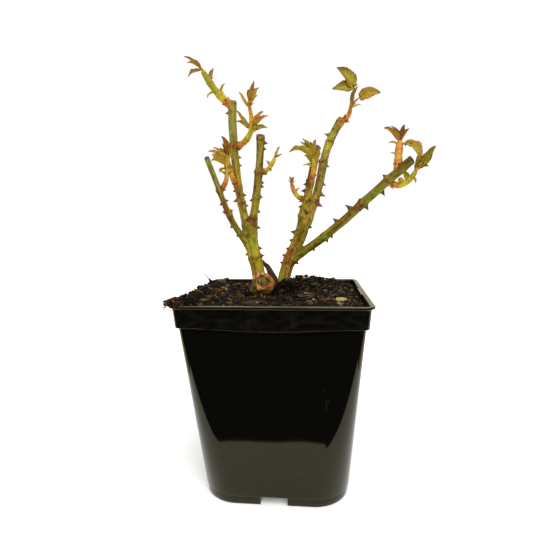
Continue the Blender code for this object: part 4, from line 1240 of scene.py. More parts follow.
# %% courses of the limbs
# base, tip, bow at half way and sway to and fro in mm; radii at foot and tip in mm; the limbs it
# leaves; lean of the pruning cut in degrees; places of the old leaf joints; prickles as share
# of the length, angle round the limb and size in mm.  slim: how much thinner the bark is than
# the plain solid, at foot and tip.  rings: places of full bud rings.
LIMBS = {
    "left_cane": dict(
        base=(-19.5, -1.0, 202.0), tip=(-29.8, 4.0, 264.0), bow=(-0.5, 0.0, 0.0),
        sway=(0.8, 0.0, 0.0), radii=(6.7, 7.3), leaves_from=(), prune=0, nodes=(0.45, 0.85),
        prickles=((0.96, 7, 4.6), (0.59, 7, 3.6), (0.46, 7, 3.0), (0.37, 7, 2.8), (0.54, 189, 2.8))),
    "left_short_bough": dict(
        slim=(0.86, 0.97),
        base=(-28.5, 3.6, 258.8), tip=(-13.8, -18.0, 351.0), bow=(2.0, 1.1, 0.0),
        sway=(0.0, 0.0, 0.0), radii=(4.7, 3.9), leaves_from=("left_cane",), prune=12,
        nodes=(0.36, 0.62, 0.97), rings=(0.139,),
        prickles=((0.93, 6, 3.6), (0.87, 6, 2.6), (0.53, 6, 2.8), (0.49, 6, 3.2), (0.38, 6, 2.6),
                  (0.22, 6, 3.0), (0.33, 187, 2.6))),
    "left_tall_bough": dict(
        slim=(0.88, 1.0),
        base=(-30.2, 4.0, 252.3), tip=(-52.1, 38.0, 400.0), bow=(-5.1, 0.2, -0.9),
        sway=(-0.3, 0.0, 0.0), radii=(4.5, 4.7), leaves_from=("left_cane",), prune=20,
        nodes=(0.24, 0.36, 0.66, 0.98),
        prickles=((0.91, 192, 3.4), (0.58, 8, 3.2), (0.52, 7, 2.8), (0.30, 8, 3.4),
                  (0.27, 189, 4.6), (0.22, 5, 3.0), (0.34, 188, 2.8))),
    "left_thin_bough": dict(
        slim=(0.84, 0.76),
        base=(-29.2, 3.1, 241.2), tip=(-63.2, -36.0, 328.0), bow=(-5.0, 2.1, -1.4),
        sway=(-1.1, 0.0, -0.6), radii=(3.9, 3.3), leaves_from=("left_cane",), prune=18,
        nodes=(0.40, 0.66),
        prickles=((0.555, 12, 2.6), (0.54, 199, 2.6), (0.44, 18, 3.0), (0.46, 199, 2.6),
                  (0.29, 201, 2.6), (0.18, 203, 2.4))),
    "right_cane": dict(
        slim=(0.95, 0.94),
        base=(3.0, 13.0, 193.0), tip=(29.6, 9.0, 277.4), bow=(-0.7, 0.0, 0.0),
        sway=(-1.9, 0.0, 0.6), radii=(6.9, 7.3), leaves_from=(), prune=0, nodes=(0.42, 0.93),
        prickles=((0.73, 182, 5.4), (0.62, 181, 3.4), (0.51, 181, 3.0), (0.42, 181, 3.0),
                  (0.40, 359, 4.2), (0.84, 358, 3.2), (0.33, 181, 2.8))),
    "low_right_bough": dict(
        slim=(0.84, 0.90),
        base=(11.2, 11.5, 226.3), tip=(124.5, -44.4, 320.4), bow=(2.9, 2.4, -2.3),
        sway=(0.6, -0.1, -1.0), radii=(5.2, 4.4), leaves_from=("right_cane",), prune=8,
        nodes=(0.30, 0.62, 0.83, 0.93),
        prickles=((0.43, 158, 5.0), (0.55, 159, 6.6), (0.83, 155, 3.2), (0.76, 334, 5.0),
                  (0.30, 335, 3.0), (0.34, 335, 3.0), (0.63, 334, 4.4), (0.19, 333, 2.6))),
    "right_outer_bough": dict(
        slim=(0.90, 0.92),
        base=(29.5, 9.5, 267.4), tip=(68.3, 48.0, 379.0), bow=(-2.3, 0.4, 0.8),
        sway=(2.5, 0.0, -0.9), radii=(5.1, 4.6), leaves_from=("right_cane",), prune=15,
        nodes=(0.20, 0.55, 0.75, 0.96),
        prickles=((0.53, 3, 2.8), (0.27, 5, 5.6), (0.18, 7, 6.0), (0.81, 192, 5.0), (0.36, 3, 3.4))),
    "right_inner_bough": dict(
        base=(28.0, 8.0, 269.6), tip=(41.1, -12.0, 339.5), bow=(-0.9, 0.3, 0.2),
        sway=(-0.3, 0.0, 0.0), radii=(4.3, 3.5), leaves_from=("right_cane",), prune=25,
        nodes=(0.28, 0.52, 0.90),
        prickles=((0.18, 181, 4.4), (0.49, 179, 2.6), (0.40, 180, 4.0))),
    "dead_stub": dict(
        base=(-3.5, 7.5, 200.0), tip=(-17.4, 11.0, 224.0), bow=(1.3, 0.0, 1.2),
        sway=(-0.5, 0.0, -0.4), radii=(4.7, 1.9), leaves_from=(), prune=35,
        nodes=(), prickles=()),
}


def limb_point(limb, t):
    base, tip, bow, sway = [vec(limb[k]) for k in ("base", "tip", "bow", "sway")]
    return base.lerp(tip, t) + bow * (4.0 * t * (1.0 - t)) + sway * sin(2.0 * pi * t)


def limb_length(limb):
    return (vec(limb["tip"]) - vec(limb["base"])).length


def limb_radius(limb, t):
    """Taper from base to tip, with a low swelling at each node."""
    low, high = limb["radii"]
    slim_low, slim_high = limb.get("slim", (1.0, 1.0))
    r = (low * slim_low + (high * slim_high - low * slim_low) * t) * MM
    for node in limb["nodes"]:
        r += 0.11 * low * MM * exp(-((t - node) * limb_length(limb) / (3.5 * MM)) ** 2)
    return r


def frame_at(limb, t):
    """Unit vector along the limb, and two across it; the first across faces +X."""
    ahead = (limb_point(limb, t + 0.01) - limb_point(limb, t - 0.01)).normalized()
    side = Vector((1.0, 0.0, 0.0))
    side = (side - ahead * side.dot(ahead)).normalized()
    return ahead, side, ahead.cross(side)


for limb_name, limb in LIMBS.items():
    print(limb_name, "length in mm:", round(limb_length(limb) / MM, 1))

# %% pigments of the bark
BARK = palette(
    olive=(118, 112, 24), green=(112, 124, 30), gold=(160, 140, 24),
    lime=(158, 156, 34), tan=(150, 118, 40), brown=(108, 70, 22),
    rust=(152, 86, 26), plum=(84, 36, 30), shade=(86, 76, 16),
    grey=(128, 130, 60), dark=(54, 34, 18), scurf=(178, 146, 84),
)
# How strongly each limb is marked with corky scurf and sun scorch.
SCURF = dict(left_thin_bough=0.15, right_cane=0.75, right_outer_bough=0.6, left_cane=0.5,
             right_inner_bough=0.85, left_tall_bough=0.45)
PLAIN_SCURF = 0.35
# Marks on the bark: pigment, how much, noise from and to, scale across and along, shift.
MARKS = (
    ("brown", 0.85, 0.06, 0.40, 420.0, 26.0, (0, 0, 0)),
    ("gold", 0.45, 0.15, 0.50, 520.0, 34.0, (9, 0, 0)),
    ("dark", 0.42, 0.22, 0.50, 260.0, 150.0, (0, 0, 7)),
)
SHADED_MARKS = (("plum", 0.5, 0.30, 0.55, 130.0, 70.0, (0, 0, 4)),)
CORKY_MARKS = (("scurf", 1.0, 0.12, 0.42, 330.0, 260.0, (3, 0, 0)),
               ("dark", 0.85, 0.18, 0.46, 300.0, 210.0, (0, 5, 0)))
# Along each limb: share of its length and the pigment there.
BARK_ALONG = dict(
    left_cane="0 brown, 0.12 tan, 0.3 gold, 0.6 lime, 1 olive",
    left_short_bough="0 rust, 0.15 brown, 0.2 gold, 0.5 olive, 0.75 grey, 1 olive",
    left_tall_bough="0 gold, 0.25 olive, 0.32 brown, 0.42 gold, 0.58 olive, 0.75 grey, 1 olive",
    left_thin_bough="0 olive, 0.3 olive, 0.48 tan, 0.6 grey, 1 grey",
    right_cane="0 lime, 0.2 lime, 0.32 tan, 0.48 rust, 0.58 gold, 0.75 olive, 1 gold",
    low_right_bough="0 gold, 0.12 olive, 0.35 green, 0.5 olive, 0.6 brown, 0.7 green, "
                    "0.85 olive, 1 shade",
    right_outer_bough="0 gold, 0.1 gold, 0.3 olive, 0.5 shade, 0.7 lime, 0.88 olive, 0.96 rust, 1 brown",
    right_inner_bough="0 olive, 0.3 gold, 0.5 tan, 0.7 tan, 0.92 gold, 1 brown",
)


def read_stops(text):
    """Places and pigments from words such as "0 gold, 1 olive"."""
    pairs = [stop.split() for stop in text.split(", ")]
    return [(float(place), word) for place, word in pairs]


def along_pigment(text, colours, t):
    """Blend the pigments that a text of stops names."""
    stops = read_stops(text)
    for (low, first), (high, second) in zip(stops, stops[1:]):
        if t <= high:
            return blend(colours[first], colours[second], smooth(t, low, high))
    return colours[stops[-1][1]]


def grain_noise(grain, across, along, shift=(0, 0, 0)):
    """Noise drawn out along the wood."""
    x, y, z = shift
    return rough(grain.x * across + x, grain.y * across + y, grain.z * along + z)


def mark(colour, marks, grain, much=1.0):
    for word, share, low, high, across, along, shift in marks:
        near = smooth(grain_noise(grain, across, along, shift), low, high)
        colour = blend(colour, BARK[word], share * much * near)
    return colour


def bark_pigment_and_light(name, t, angle, grain, node_near):
    """Painted light: the side toward the key light yellower, the side away darker as painted shade;
    brown streaks, plum rings at the joints.
    """
    sunny = 0.5 + 0.5 * cos(angle - radians(-40.0))
    colour = glaze(along_pigment(BARK_ALONG[name], BARK, t),
                   (BARK["shade"], 0.55 * smooth(1.0 - sunny, 0.45, 1.0)),
                   (BARK["lime"], 0.18 * smooth(sunny, 0.6, 1.0)))
    colour = mark(colour, MARKS, grain)
    # Plum blotches laid only on the side away from the key light: pigment, and painted shade
    colour = mark(colour, SHADED_MARKS, grain, 1.0 - sunny)
    colour = mark(colour, CORKY_MARKS, grain, SCURF.get(name, PLAIN_SCURF))
    return blend(colour, BARK["plum"], node_near)


print("bark pigments:", len(BARK))

# %% bark tubes
ROW_STEP = 0.9 * MM
RUN_ON = 1.07      # how far a cane's skin runs on past its fork, as a share of its length
FILLET = 4.5 * MM
ROUND_STEPS = 32
WOOD = palette(rim=(120, 100, 52), wood=(104, 80, 50), pith=(66, 46, 30), old=(72, 52, 34))
# The face of a pruning cut from its rim to the pith: share of the radius, depth in mm, pigment.
CUT_FACE = ((0.955, -0.12, "rim"), (0.90, 0.05, "rim"), (0.84, 0.10, "wood"), (0.55, 0.04, "wood"),
            (0.36, 0.0, "wood"), (0.30, 0.35, "pith"), (0.12, 0.5, "pith"))


def skin_gap(limb, point, steps):
    """How far a point stands off the plain skin of a limb; less than 0 inside it."""
    return min((limb_point(limb, k / steps) - point).length - limb_radius(limb, k / steps)
               for k in range(steps + 1))


def way_out(limb):
    """Share of the length where the limb's midline comes out of the limb that it leaves."""
    for k in range(60):
        point = limb_point(limb, k / 100.0)
        if all(skin_gap(LIMBS[other], point, 100) >= 0.0 for other in limb["leaves_from"]):
            return k / 100.0
    return 0.0


def cut_normal(limb):
    """The way the pruning cut faces."""
    ahead, side, back = frame_at(limb, 1.0)
    lean = radians(limb["prune"])
    return (ahead * cos(lean) + (side * 0.4 - back * 0.9) * sin(lean)).normalized()


def bark_relief(limb, t, angle, grain, collar_at):
    """How far the bark stands off the plain radius, and how plum-coloured the joint is."""
    length = limb_length(limb)
    plain = limb_radius(limb, t)
    rise = 0.16 * MM * grain_noise(grain, 600.0, 40.0)
    rise += 0.10 * MM * noise.noise(grain * 420.0)
    rise += 0.35 * MM * grain_noise(grain, 90.0, 45.0)
    if collar_at:
        rise += 0.15 * plain * exp(-((t - collar_at) * length / (7.0 * MM)) ** 2)
    ring = 0.0
    for place in limb.get("rings", ()):
        near = exp(-((t - place) * length / (1.3 * MM)) ** 2)
        rise += 0.55 * MM * near
        ring = max(ring, 0.9 * near)
    for number, node in enumerate(limb["nodes"]):
        off = (t - node) * length / MM
        facing = cos(angle - number * 2.4 - 0.6)
        scar = exp(-((off + 1.2) / 0.55) ** 2) * smooth(facing, -0.6, 0.3)
        rise -= 0.30 * MM * scar
        rise += 0.28 * MM * exp(-((off + 0.1) / 0.6) ** 2) * smooth(facing, -0.6, 0.3)
        eye = exp(-((off - 1.8) / 1.5) ** 2) * smooth(facing, 0.82, 0.98)
        rise += 0.9 * MM * eye
        ring = max(ring, 0.75 * exp(-((off + 0.6) / 0.9) ** 2) * smooth(facing, -0.8, 0.2),
                   0.7 * eye)
    return rise, ring


def neighbours(name):
    """Limbs that share a fork with this one."""
    own = LIMBS[name]["leaves_from"]
    return [other for other, limb in LIMBS.items() if other != name and other in BARK_ALONG
            and (other in own or name in limb["leaves_from"]
                 or set(own) & set(limb["leaves_from"]))]


def fillet(name, rings, axes):
    """Swell the skin where it nears a neighbour's skin, so that a fork has no sharp crease."""
    points = np.array([[tuple(p) for p in ring] for ring in rings])
    push = np.zeros(points.shape[:2])
    for other in neighbours(name):
        limb = LIMBS[other]
        stops = [k / 80.0 for k in range(81)]
        course = np.array([tuple(limb_point(limb, t)) for t in stops])
        radii = np.array([limb_radius(limb, t) for t in stops])
        away = np.linalg.norm(points[:, :, None, :] - course[None, None], axis=3) - radii
        near = np.clip(FILLET - np.abs(away.min(axis=2)), 0.0, None)
        push = np.maximum(push, near ** 2 / (2.6 * FILLET))
    return [[p + (p - axis).normalized() * float(push[k][i]) for i, p in enumerate(ring)]
            for k, (ring, axis) in enumerate(zip(rings, axes))]


def sweep(limb, stops, sides, width, skin):
    """Rings round a limb at each stop; skin gives a point's offset and pigment.

    width(t) is the plain radius, and skin gets t, the angle, the way out, the grain and the
    unit vector along the limb.
    """
    rings, tints, grains = [], [], []
    for t in stops:
        middle, plain = limb_point(limb, t), width(t)
        ahead, side, back = frame_at(limb, t)
        ring, tint, grain_ring = [], [], []
        for k in range(sides):
            a = 2.0 * pi * k / sides
            grain = Vector((plain * cos(a), plain * sin(a), t * limb_length(limb)))
            offset, pigment = skin(t, a, side * cos(a) + back * sin(a), grain, ahead)
            ring.append(middle + offset)
            tint.append(pigment)
            grain_ring.append(grain)
        rings.append(ring)
        tints.append(tint)
        grains.append(grain_ring)
    return rings, tints, grains


def sweep_bark(name, materials):
    """One limb from inside its parent to its pruning cut, with the cut's face as second finish."""
    limb = LIMBS[name]
    length = limb_length(limb)
    rows = round(length / ROW_STEP)
    out = way_out(limb)
    tip = frame_at(limb, 1.0)[0]
    normal = cut_normal(limb) if limb["prune"] else tip
    last = 9.0 * MM / length
    shift_grain = Vector((len(name) * 0.013, 0.0, len(name) * 0.2))

    def skin(t, a, outward, grain, ahead):
        grain += shift_grain
        rise, ring_near = bark_relief(limb, t, a, grain, out)
        reach = outward * (limb_radius(limb, t) + rise)
        shift = 0.0
        if t > 1.0 - last and limb["prune"]:
            share = (t - 1.0 + last) / last
            shift = -reach.dot(normal) / ahead.dot(normal) * share
        elif not limb["prune"]:
            dome = max(0.0, t - RUN_ON + 0.09) / 0.09
            reach *= sqrt(max(0.0, 1.0 - dome ** 2) * 0.97 + 0.03)
        return reach + ahead * shift, bark_pigment_and_light(name, t, a, grain, ring_near)

    stops = [row / rows * (1.0 if limb["prune"] else RUN_ON) for row in range(rows + 1)]
    rings, tints, grains = sweep(limb, stops, ROUND_STEPS, lambda t: limb_radius(limb, t), skin)
    rings = fillet(name, rings, [limb_point(limb, t) for t in stops])
    wood_faces = 0
    if limb["prune"]:
        middle = limb_point(limb, 1.0)
        dents = [0.10 * MM * noise.noise(p * 900.0) for p in rings[rows]]
        for scale, sink, word in CUT_FACE:
            rings.append([middle + (p - middle) * scale - normal * (sink * MM + dent)
                          for p, dent in zip(rings[rows], dents)])
            tints.append([blend(WOOD[word], WOOD["old"], 0.45)] * ROUND_STEPS)
            grains.append([g * scale for g in grains[rows]])
        wood_faces = (len(CUT_FACE) - 1) * ROUND_STEPS
    shape = Shape()
    shape.rings(rings, tints, grains)
    total = len(shape.faces) - 2
    shape.finish_of[total - wood_faces:total] = [1] * wood_faces
    shape.finish_of[-1] = 1 if wood_faces else 0
    settle(shape.make(name + "_bark", materials, 50.0), "cane_bark", name)


def green_bark_finish():
    """Waxy green bark: stored pigment, fine streaks along the grain, tiny corky specks."""
    finish = Finish(bpy.data.materials.new("green_bark"))
    grain = finish.stored("grain", "Vector")
    streaks = finish.noise(finish.stretch(grain, (900.0, 900.0, 60.0)), 1.0, 4.0, 0.65)
    mottle = finish.noise(grain, 700.0, 3.0)
    specks = finish.noise(finish.stretch(grain, (1500.0, 1500.0, 700.0)), 1.0, 1.0)
    colour = finish.two_tone((streaks * 0.7 + mottle * 0.3).within(0.36, 0.62),
                             (0.62, 0.58, 0.50), (1.22, 1.20, 1.15))
    cork = specks.within(0.70, 0.76)
    return finish.dress(base_color=finish.mix(cork * 0.6, colour, BARK["brown"]),
                        roughness=0.40 + mottle * 0.2 + cork * 0.2,
                        normal=finish.bump(streaks + mottle * 0.6 + cork, 0.00035, 0.55),
                        specular_ior_level=0.16, specular_tint=(1.0, 0.94, 0.70))


def cut_wood_finish():
    """A weathered pruning cut: grey-brown wood with rays round a dark pith."""
    finish = Finish(bpy.data.materials.new("cut_wood"))
    place = finish.place()
    rays = finish.noise(place, 1800.0, 4.0, 0.7)
    stain = finish.noise(place, 420.0, 2.0)
    colour = finish.two_tone((rays * 0.6 + stain * 0.4).within(0.35, 0.6), (0.50, 0.46, 0.42))
    return finish.dress(base_color=colour, roughness=0.75 + rays * 0.15,
                        normal=finish.bump(rays, 0.0004, 0.8))


bark_finish = green_bark_finish()
wood_finish = cut_wood_finish()
for limb_name in BARK_ALONG:
    sweep_bark(limb_name, [bark_finish, wood_finish])
# %% [markdown]
# ## Prickles
# A rose has prickles, not thorns: each grows from the skin on a long oval foot and hooks down
# the cane, and snaps off sideways.  A cone would look like a spike on a pipe.  Here an oval foot
# is swept along a bent line to a hard point, brown where it meets the bark and dark at the tip.
# The same seeded rule that places them on the plain model places them again.

# %% shoots of the plant
# host and at: the bough and the share of its length where the shoot breaks out.
# leaves: share of the stem, bearing and climb in degrees, reach in mm, arch, style.
SHOOTS = {
    "tall_bough_top_shoot": dict(
        host="left_tall_bough", at=0.960, tip=(-81.4, 25.5, 430.1), bow=(-2.2, 1.4, -2.2),
        radii=(5.4, 3.0),
        leaves=((1.0, -144, 30, 22, 0.08, "narrow"), (1.0, 159, 32, 21, 0.10, "slim"),
                (0.99, -148, -24, 19, 0.12, "single"), (0.71, 54, 62, 20, 0.04, "single"),
                (0.34, -58, 50, 15, 0.16, "single"), (0.46, -141, -31, 15, 0.15, "scale"))),
    "tall_bough_middle_shoot": dict(
        host="left_tall_bough", at=0.655, tip=(-29.7, 9.5, 389.8), bow=(10.4, -3.7, -8.6),
        radii=(5.2, 2.3),
        leaves=((1.0, 54, 81, 24, 0.06, "folded"), (1.0, -39, 42, 19, -0.14, "slim"),
                (0.93, -130, 47, 18, -0.06, "single"), (0.93, 73, 51, 21, 0.06, "slim"),
                (0.58, -147, 50, 25, -0.05, "slim"), (0.56, 143, 33, 26, 0.06, "single"),
                (0.61, 40, 51, 24, 0.05, "folded"), (0.54, -26, 5, 20, 0.08, "folded"),
                (0.58, -44, 20, 26, 0.06, "single"), (0.39, -42, 24, 16, 0.06, "scale"))),
    "tall_bough_lower_shoot": dict(
        host="left_tall_bough", at=0.35, tip=(-51.3, 4.1, 334.4), bow=(-2.1, -1.6, -1.2),
        radii=(3.7, 2.3),
        leaves=((0.92, 147, 73, 28, 0.10, "folded"), (0.86, -135, 41, 22, 0.10, "folded"),
                (0.83, -163, 30, 24, 0.14, "folded"), (0.60, -70, 42, 10, 0.06, "scale"),
                (0.72, 165, 28, 11, 0.06, "scale"), (0.50, 160, 40, 9, 0.05, "scale"))),
    "thin_bough_shoot": dict(
        host="left_thin_bough", at=0.657, tip=(-47.7, -27.8, 323.8), bow=(4.0, 0.0, -1.4),
        radii=(3.2, 2.1),
        leaves=((0.97, -135, 11, 18, 0.12, "folded"), (0.86, -113, -20, 14, 0.10, "single"),
                (0.80, -54, 56, 18, 0.10, "single"), (0.95, 154, 40, 20, 0.12, "folded"),
                (0.62, -150, 35, 9, 0.05, "scale"), (0.55, -20, 45, 9, 0.05, "scale"))),
    "short_bough_shoot": dict(
        host="left_short_bough", at=0.618, tip=(-0.1, -17.2, 330.7), bow=(1.9, 0.0, -3.4),
        radii=(2.7, 2.1),
        leaves=((1.0, -51, 49, 12, 0.06, "single"), (0.97, 45, 24, 10, 0.05, "single"),
                (0.60, -106, 38, 9, 0.05, "scale"), (0.50, -61, -26, 8, 0.05, "scale"))),
    "inner_bough_shoot": dict(
        host="right_inner_bough", at=0.517, tip=(37.4, -21.5, 328.1), bow=(1.4, -0.3, -0.6),
        radii=(3.3, 2.4),
        leaves=((0.83, -146, 20, 29, 0.26, "folded"), (0.96, -152, 61, 21, 0.05, "folded"),
                (0.99, -78, 48, 20, 0.08, "single"), (0.67, 137, 42, 21, 0.10, "single"),
                (0.63, -136, 10, 12, 0.10, "scale"), (0.90, -54, 37, 17, 0.06, "single"),
                (0.50, -60, 50, 10, 0.05, "scale"), (0.75, -20, 55, 13, 0.05, "slim"))),
    "inner_bough_bud": dict(
        host="right_inner_bough", at=0.278, tip=(15.4, -7.3, 305.9), bow=(-2.7, -0.7, -3.6),
        radii=(3.3, 2.8),
        leaves=((0.98, -102, 35, 11, 0.05, "single"), (0.98, 65, 50, 10, 0.05, "single"),
                (0.62, 30, 45, 8, 0.05, "scale"))),
    "outer_bough_shoot": dict(
        host="right_outer_bough", at=0.965, tip=(77.0, 41.2, 391.2), bow=(2.9, -0.1, -2.8),
        radii=(4.3, 2.2),
        leaves=((0.97, -170, 72, 43, 0.24, "open"), (0.94, -22, 19, 34, 0.14, "stalked"),
                (0.98, 55, 60, 28, 0.04, "slim"), (0.90, 20, 24, 12, 0.05, "scale"))),
    "low_bough_upper_shoot": dict(
        host="low_right_bough", at=0.895, tip=(115.3, -35.7, 338.7), bow=(-0.1, -0.6, 0.0),
        radii=(4.1, 3.4),
        leaves=((0.93, -151, 35, 22, 0.14, "folded"), (0.94, 44, 59, 20, 0.04, "folded"),
                (0.88, -41, -39, 26, 0.26, "broad"), (0.84, 160, 22, 10, 0.14, "scale"),
                (0.50, 178, 30, 8, 0.05, "scale"))),
    "low_bough_lower_shoot": dict(
        host="low_right_bough", at=0.820, tip=(128.9, -44.5, 311.9), bow=(1.4, 1.2, -7.9),
        radii=(3.1, 2.4),
        leaves=((0.98, -42, 42, 25, -0.06, "broad"), (0.96, 51, 51, 25, 0.06, "slim"),
                (0.46, -113, 29, 13, 0.05, "scale"), (0.66, 94, 54, 14, 0.05, "scale"),
                (0.83, -74, -38, 10, 0.05, "scale"))),
}


def shoot_stem(name):
    """A shoot's stem in the same terms as a limb, starting on its host's midline."""
    spec = SHOOTS[name]
    base = limb_point(LIMBS[spec["host"]], spec["at"]) / MM
    return dict(base=tuple(base), tip=spec["tip"], bow=spec["bow"], sway=(0.0, 0.0, 0.0),
                radii=spec["radii"], nodes=(0.35, 0.7), prune=0)


STEMS = {name: shoot_stem(name) for name in SHOOTS}
print("shoots:", len(STEMS))


# %% prickles
PRICKLE_STEP = 28.0 * MM


def beside_shoot(point, margin):
    return any(skin_gap(stem, point, 12) < margin for stem in STEMS.values())


def way_off(limb, t, angle):
    """Unit vectors along the limb, and out of it at an angle from +X in degrees."""
    ahead, side, back = frame_at(limb, t)
    a = radians(angle)
    return ahead, side * cos(a) + back * sin(a)


def prickle_rows(name):
    """The listed prickles of a limb, and more on its front and back every 28 mm or so."""
    limb = LIMBS[name]
    rng = random.Random(SEED + len(name))
    rows = list(limb["prickles"])
    count = round(limb_length(limb) / PRICKLE_STEP)
    for k in range(count):
        t = 0.16 + 0.76 * (k + rng.uniform(0.2, 0.8)) / count
        angle = rng.uniform(60, 125) + 180 * (k % 2)
        rows.append((t, angle, rng.uniform(2.6, 4.0)))
    kept = []
    for t, angle, size in rows:
        out = way_off(limb, t, angle)[1]
        tip = limb_point(limb, t) + out * (limb_radius(limb, t) + size * MM)
        if not beside_shoot(tip, 3.0 * MM):
            kept.append((t, angle, size))
    return kept


PRICKLE = palette(foot=(118, 82, 34), side=(98, 60, 34), tip=(44, 26, 20))
PRICKLE_PROFILE = ((-0.16, 1.12, 1.15), (0.0, 1.0, 1.0), (0.12, 0.80, 0.72), (0.30, 0.56, 0.46),
                   (0.52, 0.36, 0.28), (0.76, 0.19, 0.15), (0.92, 0.09, 0.08), (1.0, 0.02, 0.02))


def add_prickle(shape, limb, t, angle, size):
    """An oval foot swept to a point that hooks back down the limb."""
    ahead, out = way_off(limb, t, angle)
    across = ahead.cross(out)
    foot = limb_point(limb, t) + out * (limb_radius(limb, t) - 0.2 * MM)
    half = 1.2 * MM + 0.38 * size
    rings, tints = [], []
    for rise, long, wide in PRICKLE_PROFILE:
        middle = foot + out * (rise * (size + 0.2 * MM)) - ahead * (0.42 * half * max(0, rise) ** 1.6)
        rings.append([middle + ahead * (half * long * cos(b))
                      + across * (0.42 * half * wide * sin(b))
                      for b in (2.0 * pi * k / 12 for k in range(12))])
        pigment = glaze(PRICKLE["foot"], (PRICKLE["side"], smooth(rise, 0.0, 0.4)),
                        (PRICKLE["tip"], smooth(rise, 0.45, 0.95)))
        tints.append([pigment] * 12)
    shape.rings(rings, tints)


def horn_finish():
    """Dry horn: brown at the foot, dark and a little glossy at the point."""
    finish = Finish(bpy.data.materials.new("prickle_horn"))
    fine = finish.noise(finish.place(), 1500.0, 3.0, 0.7)
    return finish.dress(base_color=finish.two_tone(fine.within(0.35, 0.65), (0.68, 0.64, 0.60)),
                        roughness=0.42 + fine * 0.2, normal=finish.bump(fine, 0.0002, 0.6))


prickles = Shape()
for limb_name, limb in LIMBS.items():
    if limb["prickles"]:
        for t, angle, size in prickle_rows(limb_name):
            add_prickle(prickles, limb, t, angle, size * MM)
settle(prickles.make("prickles", [horn_finish()], 60.0), "cane_bark")

# %% [markdown]
# ## The graft knob
# Garden roses are grafted.  The union swells to a knob of callus, and the stump that the
# nurseryman cut off above it heals over from its edge, which leaves a ring of pale new bark
# round a dead grey core.  Lumps like these are hard to sweep, so overlapping balls and rolls
# are melted together by a voxel remesh, smoothed, and then given folds, pigments and painted
# shade by place.

# %% graft knob
STOCK_CUT = 187.0 * MM
KNOB_LUMPS = (     # centre and radii in mm
    ((-12.4, -2.0, 201.2), (9.2, 8.8, 10.4)), ((-22.0, -1.0, 196.0), (7.8, 7.8, 10.0)),
    ((-5.0, 6.5, 194.0), (9.3, 8.3, 7.8)), ((3.5, 12.5, 191.5), (8.8, 8.3, 7.8)),
    ((-15.5, 3.0, 206.0), (7.8, 6.3, 6.8)), ((-21.0, -1.0, 203.0), (6.9, 6.9, 6.5)),
    ((1.5, 11.5, 196.5), (7.4, 7.0, 5.5)), ((-15.8, -8.6, 205.6), (6.6, 3.6, 7.2)),
    ((-22.5, -7.0, 201.0), (4.2, 4.4, 8.4)), ((-15.4, -6.4, 205.8), (8.4, 4.8, 8.8)),
)
STUMP_CENTRE = Vector((-15.9, -10.6, 206.2)) * MM
STUMP_FACE = Vector((-0.08, -1.0, 0.14)).normalized()
STUMP_RADII = (7.6 * MM, 7.9 * MM)
ROLL_STEPS = 56
CALLUS = palette(
    core=(132, 114, 66), core_dark=(84, 66, 36), roll=(196, 144, 80),
    light=(224, 178, 112), brown=(150, 98, 44), crack=(58, 36, 18),
    foot=(150, 132, 72), foot_dark=(84, 62, 30),
)


def melt(name, lumps, ring_list, voxel, smoothing):
    """Join balls and one closed roll, remesh them into one skin and relax it."""
    bm = bmesh.new()
    for centre, radii in lumps:
        size = Matrix.Diagonal((*[r * MM for r in radii], 1.0))
        bmesh.ops.create_icosphere(bm, subdivisions=4, radius=1.0,
                                   matrix=Matrix.Translation(vec(centre)) @ size)
    loops = [[bm.verts.new(p) for p in ring] for ring in ring_list]
    for low, high in zip(loops, loops[1:] + loops[:1]):
        for i in range(len(low)):
            bm.faces.new((low[i - 1], low[i], high[i], high[i - 1]))
    bmesh.ops.recalc_face_normals(bm, faces=bm.faces)
    mesh = bpy.data.meshes.new(name)
    bm.to_mesh(mesh)
    bm.free()
    body = link(name, mesh)
    remesh = body.modifiers.new("melt", "REMESH")
    remesh.mode = "VOXEL"
    remesh.voxel_size = voxel
    relax = body.modifiers.new("relax", "SMOOTH")
    relax.factor = 0.5
    relax.iterations = smoothing
    baked(body)
    return body


STUMP_RIGHT = STUMP_FACE.cross(Vector((0.0, 0.0, 1.0))).normalized()
STUMP_UP = STUMP_RIGHT.cross(STUMP_FACE).normalized()


def callus_roll():
    """The healed edge: a thick uneven ring round the old cut, open at its lower left."""
    rings = []
    for k in range(ROLL_STEPS):
        a = 2.0 * pi * k / ROLL_STEPS
        lump = rough(cos(a) * 1.6, sin(a) * 1.6, 3.0)
        open_side = smooth(cos(a - radians(215)), 0.2, 0.85)
        thick = (2.9 + 0.6 * lump - 0.7 * smooth(abs(sin(a)), 0.5, 1.0) - 1.9 * open_side) * MM
        middle = (STUMP_CENTRE + STUMP_RIGHT * (STUMP_RADII[0] * cos(a))
                  + STUMP_UP * (STUMP_RADII[1] * sin(a))
                  + STUMP_FACE * ((0.5 * lump - 1.6 * open_side) * MM))
        outward = (STUMP_RIGHT * cos(a) + STUMP_UP * sin(a)).normalized()
        rings.append(circle(middle, outward, STUMP_FACE, thick, 14))
    return rings


def stump_place(point):
    """Where a point lies on the old cut, as a dict.

    radius is 1 at the roll, turn is the angle round it and depth in mm.  across and cut are
    the place and the radius on the dead core, and closed is 0 where the roll is open.
    """
    local = point - STUMP_CENTRE
    a, b = local.dot(STUMP_RIGHT) / STUMP_RADII[0], local.dot(STUMP_UP) / STUMP_RADII[1]
    radius, turn = hypot(a, b), atan2(b, a)
    across = radius * cos(turn) + 0.20
    return dict(radius=radius, turn=turn, depth=local.dot(STUMP_FACE) / MM, across=across,
                cut=hypot(across * 0.92, radius * sin(turn) * 1.08 - 0.06),
                closed=smooth(cos(turn - radians(5)), -0.6, 0.2))


